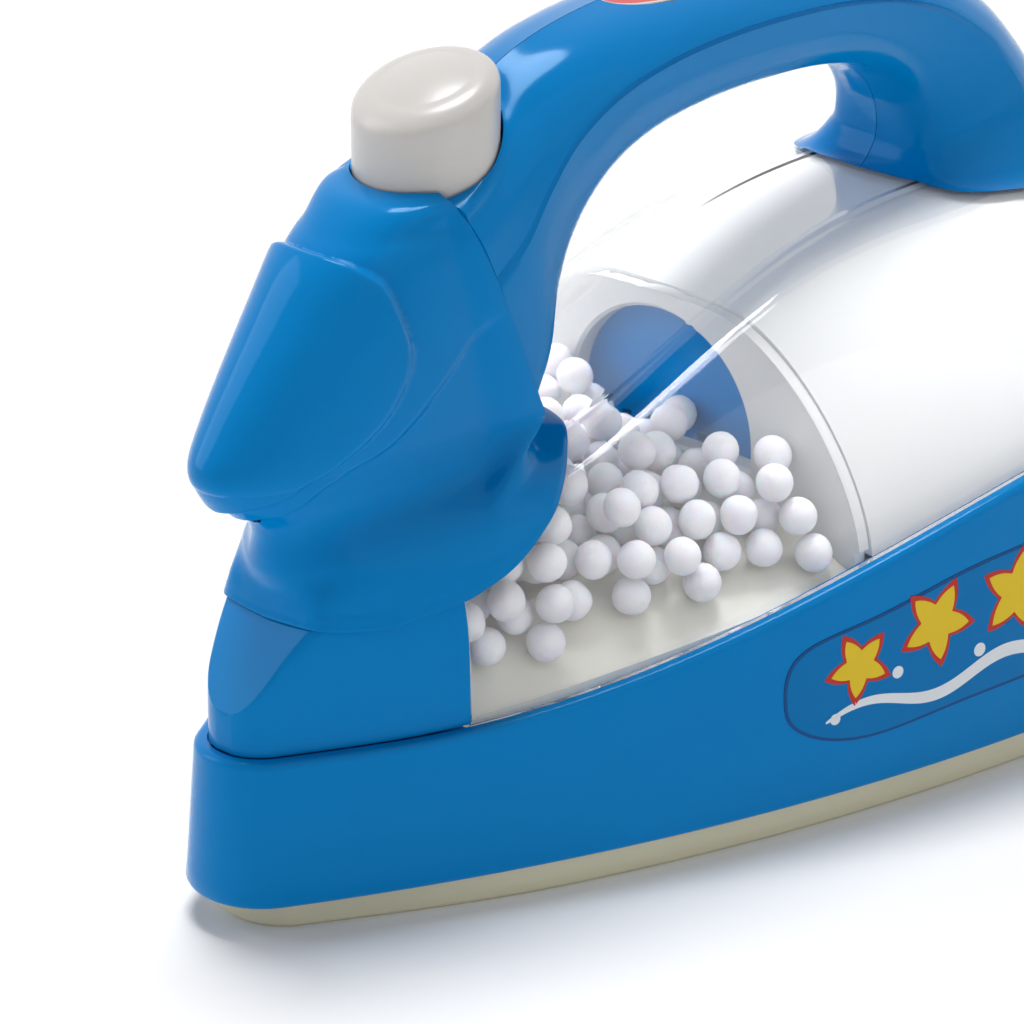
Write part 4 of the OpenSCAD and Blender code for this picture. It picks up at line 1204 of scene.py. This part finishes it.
    def relief(self, grid: Array, k: Array) -> Array:
        """Moves the cover in, so that the face stands as a pillow on a band and the band on the neck.

        Args:
            grid: rings of the cover, from the rim up.
            k: level of each ring.

        Returns:
            The moved rings: each point goes inwards along its normal by both steps, with quarter rounds.
        """
        a = np.linspace(0, 2 * math.pi, grid.shape[1], endpoint=False)
        kk, aa = np.broadcast_arrays(k[:, None], np.where(a > math.pi, a - 2 * math.pi, a)[None])
        face = self.inside(grid, kk, aa, self.face_line, True)
        band = self.inside(grid, kk, aa, self.band_line, False)
        rounded = lambda d, w: np.sin(np.clip(d / w, 0, 1) * math.pi / 2)
        crown = 1 - eased((kk - 11) / 1.4)
        drop = self.face_step * (1 - rounded(face, self.face_round)) * crown
        drop = drop + self.band_step * (1 - rounded(band, self.band_round))
        keep = eased((kk - 1.2) / 2.2) * eased((90 - np.abs(np.degrees(aa))) / 9)
        across = np.cross(np.roll(grid, -1, 1) - np.roll(grid, 1, 1), np.gradient(grid, axis=0))
        normal = across / np.maximum(np.linalg.norm(across, axis=2, keepdims=True), 1e-9)
        out = np.sign((normal * (grid - grid.mean(1, keepdims=True))).sum(2, keepdims=True))
        return grid - normal * out * (drop * keep)[:, :, None]

    def cover(self) -> bpy.types.Object:
        """Solid over the tank, closed below by a sheet that follows the rim, then hollowed and bored."""
        k = np.concatenate([np.linspace(0, 3, 60)[:-1], np.linspace(3, 11, 200)[:-1],
                            np.linspace(11, 13, 30)])
        outer = self.relief(self.level(k, 0, 260), k)
        middle = np.array([outer[0, :, 0].mean(), 0.0])
        share = np.array([0.25, 0.5, 0.75])[:, None, None]
        sheet = middle + (outer[None, 0, :, :2] - middle) * share
        a = np.linspace(0, 2 * math.pi, 260, endpoint=False)[None]
        sheet = np.concatenate([sheet, self.rim_at(a, sheet[:, :, 0], sheet[:, :, 1])[:, :, None]], 2)
        obj = loft("head_shell", np.concatenate([sheet, outer]), crease=50)
        k = np.concatenate([[self.hollow_from], np.linspace(self.hollow_from, self.hollow_to, 60)])
        inner = self.level(k, self.hollow, 96)
        inner[:, :, 2] -= self.wall * eased((k - 8) / 4)[:, None]
        inner[0, :, 2] -= self.hollow_foot
        carve(obj, loft("cut_inside", inner), crease=50)
        x, r, low, high = self.bore
        carve(obj, rod("cut_bore", x, 0, r, low, high), crease=50)
        return obj

    def build(self) -> None:
        """Makes the head cover."""
        settle(self.cover(), [Finish.BLUE], "head_cover")


@dataclass
class Handle:
    """Two handle shells: a creased section carried from the seam over the grip to the foot on the tank."""

    high: float = 107.3
    grip: float = 12.0
    foot: float = 21.0
    wall: float = 2.0
    under_x: tuple = (0.2737, 0.294, 0.308, 0.334, 0.369, 0.414, 0.473, 0.5376, 0.602, 0.656, 0.696, 0.717,
                      0.722, 0.717, 0.7)
    under_z: tuple = (0.5387, 0.596, 0.668, 0.736, 0.793, 0.8257, 0.8406, 0.8425, 0.835, 0.8145, 0.779,
                      0.735, 0.694, 0.666, 0.646)
    over_x: tuple = (0.1941, 0.2312, 0.2688, 0.3038, 0.3495, 0.4086, 0.4731, 0.543, 0.6129, 0.6828, 0.7473,
                     0.806, 0.846, 0.882, 0.925)
    over_z: tuple = (0.8527, 0.8807, 0.9254, 0.96, 0.9823, 0.9953, 1, 0.9972, 0.987, 0.9637, 0.9245, 0.865,
                     0.8, 0.718, 0.578)
    wide: tuple = (1.13, 1.1, 1.05, 1.01, 1, 0.985, 0.98, 0.98, 0.985, 0.99, 1, 1.03, 1.09, 1.22)
    up: tuple = (0, 0.015, 0.06, 0.16, 0.34, 0.52, 0.64, 0.7, 0.8, 0.89, 0.955, 1)
    out: tuple = (0, 0.42, 0.66, 0.8, 0.9, 0.965, 1, 0.955, 0.83, 0.63, 0.36, 0)
    full: tuple = (0, 0.7, 0.88, 0.95, 0.98, 1, 1, 0.99, 0.97, 0.885, 0.79, 0)
    fade: float = 3.5
    crease: int = 6
    groove: float = 0.5
    split: float = 0.06
    rest: float = 0.3
    bore: tuple = (42.0, 10.05, 78.0, 130.0)
    badge: tuple = (87.42, 24.0, 12.0, 105.4)
    badge_gap: float = 0.35
    screws: tuple = (0.264, 0.45, 0.743)
    screw_share: float = 0.52
    screw_cut_y: tuple = (5.5, 40.0)
    head_r: float = 2.95

    def section(self, table: tuple) -> Array:
        """A table of the section, made smooth on each side of the crease.

        Args:
            table: values from the section's under side to its top.

        Returns:
            The values at a finer step, closest at the crease.
        """
        v, n, c = np.array(table, float), np.arange(len(table)), self.crease
        lower = np.concatenate([np.linspace(0, c - 0.25, 28), [c - 0.1, c]])
        upper = np.concatenate([[c + 0.12, c + 0.3], np.linspace(c + 0.6, n[-1], 22)])
        return np.concatenate([hermite(n[:c + 1], v[:c + 1], lower), hermite(n[c:], v[c:], upper)])

    def skin(self, t: Array, side: int, wall: float) -> Array:
        """One side's skin: the section between under and upper line, its last ring laid on the tank.

        Args:
            t: stations along the arch, 0 at the seam and 14 at the foot.
            side: -1 for the near half, 1 for the far one.
            wall: inset behind the outer skin.

        Returns:
            Points in maker's millimetres as (stations, points, 3).
        """
        n = np.arange(15.0)
        length = TANK.plan.length
        at = lambda table, k: hermite(n, np.array(table, float) * k, t)
        low = np.stack([at(self.under_x, length), at(self.under_z, self.high)], 1)
        top = np.stack([at(self.over_x, length), at(self.over_z, self.high)], 1)
        along = (top - low) / np.linalg.norm(top - low, axis=1, keepdims=True)
        low, top = low + along * wall, top - along * wall
        half = hermite(n, np.concatenate([np.array(self.wide) * self.grip, [self.foot]]), t) - wall
        fuller = (1 - eased(t / self.fade))[:, None]
        up, out = self.section(self.up), self.section(self.out)[None]
        out = np.clip(out + (self.section(self.full)[None] - out) * fuller, 0, None)
        p = low[:, None] + (top - low)[:, None] * up[None, :, None]
        cut = np.zeros(up.size)
        cut[28:31] = 0.7, 1.0, 0.7
        groove = self.groove * eased((12.5 - t) / 4)
        y = side * (self.split + (half[:, None] - self.split) * out - groove[:, None] * cut)
        rest = eased(t - 13)[:, None]
        z = p[:, :, 1] * (1 - rest) + np.where(rest > 0, TANK.at(p[:, :, 0], y) + self.rest, 0) * rest
        return np.stack([p[:, :, 0], y, z], 2)

    def shell(self, name: str, side: int) -> bpy.types.Object:
        """One handle half: outer and inner skins as a thin loop along the arch, bored for the button.

        Args:
            name: object name.
            side: -1 for the near half, 1 for the far one, which takes the screws.

        Returns:
            The object.
        """
        t = np.linspace(0, 14, 240)
        loops = np.concatenate([self.skin(t, side, 0), self.skin(t, side, self.wall)[:, ::-1]], 1)
        obj = loft(name, loops, thin=True, crease=32)
        x, r, low, high = self.bore
        carve(obj, rod("cut_bore", x, 0, r, low, high), crease=32)
        carve(obj, self.oval("cut_badge", self.badge_gap, ((0.0, 1.0), (12.0, 1.0))), crease=32)
        if side > 0:
            for share in self.screws:
                carve(obj, self.screw_cut(share), crease=32)
        return obj

    def screw_cut(self, share: float) -> bpy.types.Object:
        """Round bar across the handle where a screw's head is let in from the far side.

        Args:
            share: place along the arch.

        Returns:
            The bar.
        """
        n, t, up = np.arange(15.0), np.array(share * 14), self.screw_share
        mid = lambda low, top, k: k * (hermite(n, low, t) * (1 - up) + hermite(n, top, t) * up)
        x, z = mid(self.under_x, self.over_x, TANK.plan.length), mid(self.under_z, self.over_z, self.high)
        a = np.linspace(0, 2 * math.pi, 64, endpoint=False)
        ring = np.stack([x + self.head_r * np.cos(a), 0 * a, z + self.head_r * np.sin(a)], 1)
        return loft("cut_screw", np.stack([ring + [0, y, 0] for y in self.screw_cut_y]))

    def oval(self, name: str, grow: float, profile: Sequence[tuple[float, float]]) -> bpy.types.Object:
        """Oval shape on the badge's seat: a profile carried round an ellipse.

        Args:
            name: object name.
            grow: how much larger than the badge.
            profile: pairs of height over the seat and share of the size.

        Returns:
            The object.
        """
        x, long, wide, floor = self.badge
        a = np.linspace(0, 2 * math.pi, 96, endpoint=False)
        rings = [np.stack([x + (long / 2 + grow) * k * np.cos(a), (wide / 2 + grow) * k * np.sin(a),
                           np.full(96, floor + h)], 1) for h, k in profile]
        return loft(name, np.stack(rings), crease=30)

    def plate(self) -> bpy.types.Object:
        """Badge: a flat oval with a raised white border round a low red dome."""
        low, edge, dome = 0.54, 0.89, 0.14
        profile = [(0.12, 0.98), (0.2, 1.0), (0.55, 1.0), (0.66, 0.985), (0.7, 0.95), (0.66, 0.91)]
        profile += [(low, edge)]
        profile += [(low + dome * (1 - k * k), edge * k) for k in (0.95, 0.8, 0.6, 0.4, 0.2, 0.02)]
        obj = self.oval("badge_oval", 0.0, profile)
        ring = np.repeat(np.arange(len(profile) - 1), 96)
        ink = np.concatenate([np.where((ring >= 1) & (ring < 6), 1, 0), np.zeros(192)])
        obj.data.polygons.foreach_set("material_index", ink.astype(np.int32))
        return obj

    def build(self) -> None:
        """Makes both halves and the badge."""
        settle(self.plate(), [Finish.RED, Finish.WHITE], "badge_plate")
        settle(self.shell("grip_near", -1), [Finish.BLUE], "handle_left")
        settle(self.shell("grip_far", 1), [Finish.BLUE], "handle_right")


@dataclass
class Button:
    """Push button: a hollow round cap with a slanted, domed and softly rounded top, on a stem."""

    at: float = 42.0
    radius: float = 9.7
    foot: float = 84.0
    top: float = 104.4
    tilt: float = 17.0
    shoulder: float = 3.4
    square: float = 2.1
    dome: float = 0.9
    hollow: float = 7.9
    roof: float = 95.7
    stem: tuple = (48.2, 1.8, 3.4)
    stem_z: tuple = (79.0, 84.0, 85.8)
    stem_edge: float = 0.2
    coil: tuple = (2.9, 0.35, 4.0)
    coil_z: tuple = (75.62, 83.87)
    pressed: float = 0.63

    def cap(self) -> bpy.types.Object:
        """Rings of a cylinder, a rounded shoulder and a flat dome, sheared to the slant of the top."""
        a = np.linspace(0, 2 * math.pi, 120, endpoint=False)[None]
        w = np.linspace(0, math.pi / 2, 16)[1:, None]
        flat = np.linspace(1, 0.02, 20)[1:, None]
        edge, e = self.radius - self.shoulder, 2 / self.square
        r = np.concatenate([[[self.radius - 0.3]], np.full((13, 1), self.radius),
                            edge + self.shoulder * np.cos(w) ** e, edge * flat])
        lift = np.concatenate([np.zeros((14, 1)), (self.shoulder - self.dome) * np.sin(w) ** e,
                               self.shoulder - self.dome + self.dome * (1 - flat ** 2)])
        share = np.concatenate([[[0.0], [0.02]], np.linspace(0.1, 1, 12)[:, None], np.ones((34, 1))])
        x, y = r * np.cos(a), r * np.sin(a)
        crown = self.top - self.shoulder + math.tan(math.radians(self.tilt)) * x
        z = self.foot + (crown - self.foot) * share + lift
        obj = loft("button_cap", np.stack([self.at + x, y, z], 2), crease=60)
        carve(obj, rod("cut_hollow", self.at, 0, self.hollow, self.foot - 1, self.roof), crease=60)
        return obj

    def post(self) -> bpy.types.Object:
        """Stem under the roof with the spring's round seat: a stepped profile turned about its axis."""
        x, slim, seat = self.stem
        low, under, over = self.stem_z
        a = np.linspace(0, 2 * math.pi, 48, endpoint=False)
        profile = ((low, slim - self.stem_edge), (low + self.stem_edge, slim), (under, slim), (under, seat),
                   (over, seat), (over, slim), (self.roof + self.stem_edge, slim))
        return loft("button_stem", np.stack([turned(x, 0, r, z, a) for z, r in profile]), crease=30)

    def spring(self) -> bpy.types.Object:
        """Coil round the stem: a ring of wire carried along a helix, closed at both ends."""
        radius, wire, turns = self.coil
        low, high = self.coil_z
        a = np.linspace(0, 2 * math.pi * turns, int(40 * turns) + 1)[:, None]
        b = np.linspace(0, 2 * math.pi, 10, endpoint=False)[None]
        r = radius + wire * np.cos(b)
        z = low + wire + (high - low - 2 * wire) * a / a[-1] + wire * np.sin(b)
        return loft("press_spring", np.stack([self.stem[0] + r * np.cos(a), r * np.sin(a), z], 2), crease=60)

    def build(self) -> None:
        """Makes the cap, its stem and the spring."""
        settle(self.cap(), [Finish.WHITE], "push_button", Body.BUTTON)
        settle(self.post(), [Finish.WHITE], body=Body.BUTTON)
        coil = self.spring()
        settle(coil, [Finish.STEEL], "button_spring")
        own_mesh(coil)


@dataclass
class Studio:
    """Pale floor, soft light and the camera of the photograph."""

    eye: tuple = (-0.4837, -0.4260, 0.3087)
    look: tuple = (0.6662, 0.6322, -0.3956)
    lens: float = 173.7
    world: float = 0.25
    lamps: tuple = (("overhead", 2.35, 24, 16, -220), ("right", 0.4, 60, 55, 5))
    boxes: tuple = (("left box", 2.6, 0.5, 0.7, (-0.6, 0.72, 0.5)),)
    floor_tint: str = "#FBFBFB"
    floor_half: float = 4.0

    def floor(self) -> None:
        """A wide pale sheet under the toy."""
        mesh = bpy.data.meshes.new("floor")
        s = self.floor_half
        mesh.from_pydata([(-s, -s, 0), (s, -s, 0), (s, s, 0), (-s, s, 0)], [], [(0, 1, 2, 3)])
        obj = bpy.data.objects.new("floor", mesh)
        bpy.context.scene.collection.objects.link(obj)
        mat = bpy.data.materials.new("pale paper")
        mat.use_nodes = True
        shader = mat.node_tree.nodes["Principled BSDF"]
        shader.inputs["Base Color"].default_value = linear(self.floor_tint)
        shader.inputs["Roughness"].default_value = 0.9
        shader.inputs["Specular IOR Level"].default_value = 0.0
        mesh.materials.append(mat)

    def lights(self) -> None:
        """A dim even sky, a lamp overhead behind the toy, a weak one in front and a softbox on the left."""
        world = bpy.data.worlds.new("studio")
        world.use_nodes = True
        sky = world.node_tree.nodes["Background"]
        sky.inputs[0].default_value = (1, 1, 1, 1)
        rays = add(world.node_tree, "ShaderNodeLightPath")
        seen = add(world.node_tree, "ShaderNodeMath", None,
                   {0: rays.outputs["Is Camera Ray"], 1: rays.outputs["Is Glossy Ray"]}, operation="MAXIMUM")
        seen = add(world.node_tree, "ShaderNodeMath", None,
                   {0: seen.outputs[0], 1: rays.outputs["Is Transmission Ray"]}, operation="MAXIMUM")
        level = add(world.node_tree, "ShaderNodeMapRange", {"To Min": self.world, "To Max": 1.0},
                    {"Value": seen.outputs[0]})
        world.node_tree.links.new(level.outputs[0], sky.inputs[1])
        bpy.context.scene.world = world
        for name, energy, angle, tilt, turn in self.lamps:
            sun = bpy.data.lights.new(name, "SUN")
            sun.energy, sun.angle = energy, math.radians(angle)
            obj = bpy.data.objects.new(name, sun)
            obj.rotation_euler = (math.radians(tilt), 0, math.radians(turn))
            bpy.context.scene.collection.objects.link(obj)
        for name, energy, wide, high, place in self.boxes:
            box = bpy.data.lights.new(name, "AREA")
            box.energy, box.shape, box.size, box.size_y = energy, "RECTANGLE", wide, high
            obj = bpy.data.objects.new(name, box)
            obj.location = place
            obj.rotation_euler = (Vector((0, 0, 0.06)) - Vector(place)).to_track_quat("-Z", "Y").to_euler()
            bpy.context.scene.collection.objects.link(obj)

    def camera(self) -> None:
        """The photograph's viewpoint: long lens, no shift."""
        cam = bpy.data.cameras.new("camera")
        cam.lens, cam.sensor_width, cam.sensor_fit = self.lens, 36.0, "HORIZONTAL"
        cam.clip_start, cam.clip_end = 0.01, 50
        obj = bpy.data.objects.new("camera", cam)
        obj.location = self.eye
        obj.rotation_euler = Vector(self.look).to_track_quat("-Z", "Y").to_euler()
        bpy.context.scene.collection.objects.link(obj)
        bpy.context.scene.camera = obj

    def build(self) -> None:
        """Sets up floor, light, camera and view."""
        self.floor()
        self.lights()
        self.camera()
        bpy.context.scene.view_settings.view_transform = "Standard"


NODES: dict[Finish, tuple[str, ...]] = {
    Finish.BLUE: ("blower_panel",),
    Finish.BLACK: ("switch_body", "lead_black"),
    Finish.RED: ("switch_plunger", "lead_red"),
    Finish.STEEL: ("motor", "motor_shaft", "contact_springs", "contact_plates", "door_screw", "base_screws",
                   "handle_screws"),
    Finish.WHITE: ("impeller", "motor_bracket"),
    Finish.CREAM: ("battery_box", "battery_door"),
    Finish.CELL: ("battery_cells",),
}


def main() -> None:
    """Builds every sub-assembly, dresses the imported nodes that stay, and sets up the studio."""
    logging.basicConfig(level=logging.INFO)
    for part in (Base(), Sticker(), Works(), Head(), Handle(), Button()):
        part.build()
        LOG.info("%s done", type(part).__name__)
    for finish, names in NODES.items():
        for name in names:
            dress(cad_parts[name], finish)
            LOG.info("%s: packed node, %s", name, finish.value.name)
    Studio().build()


if __name__ == "__main__":
    main()
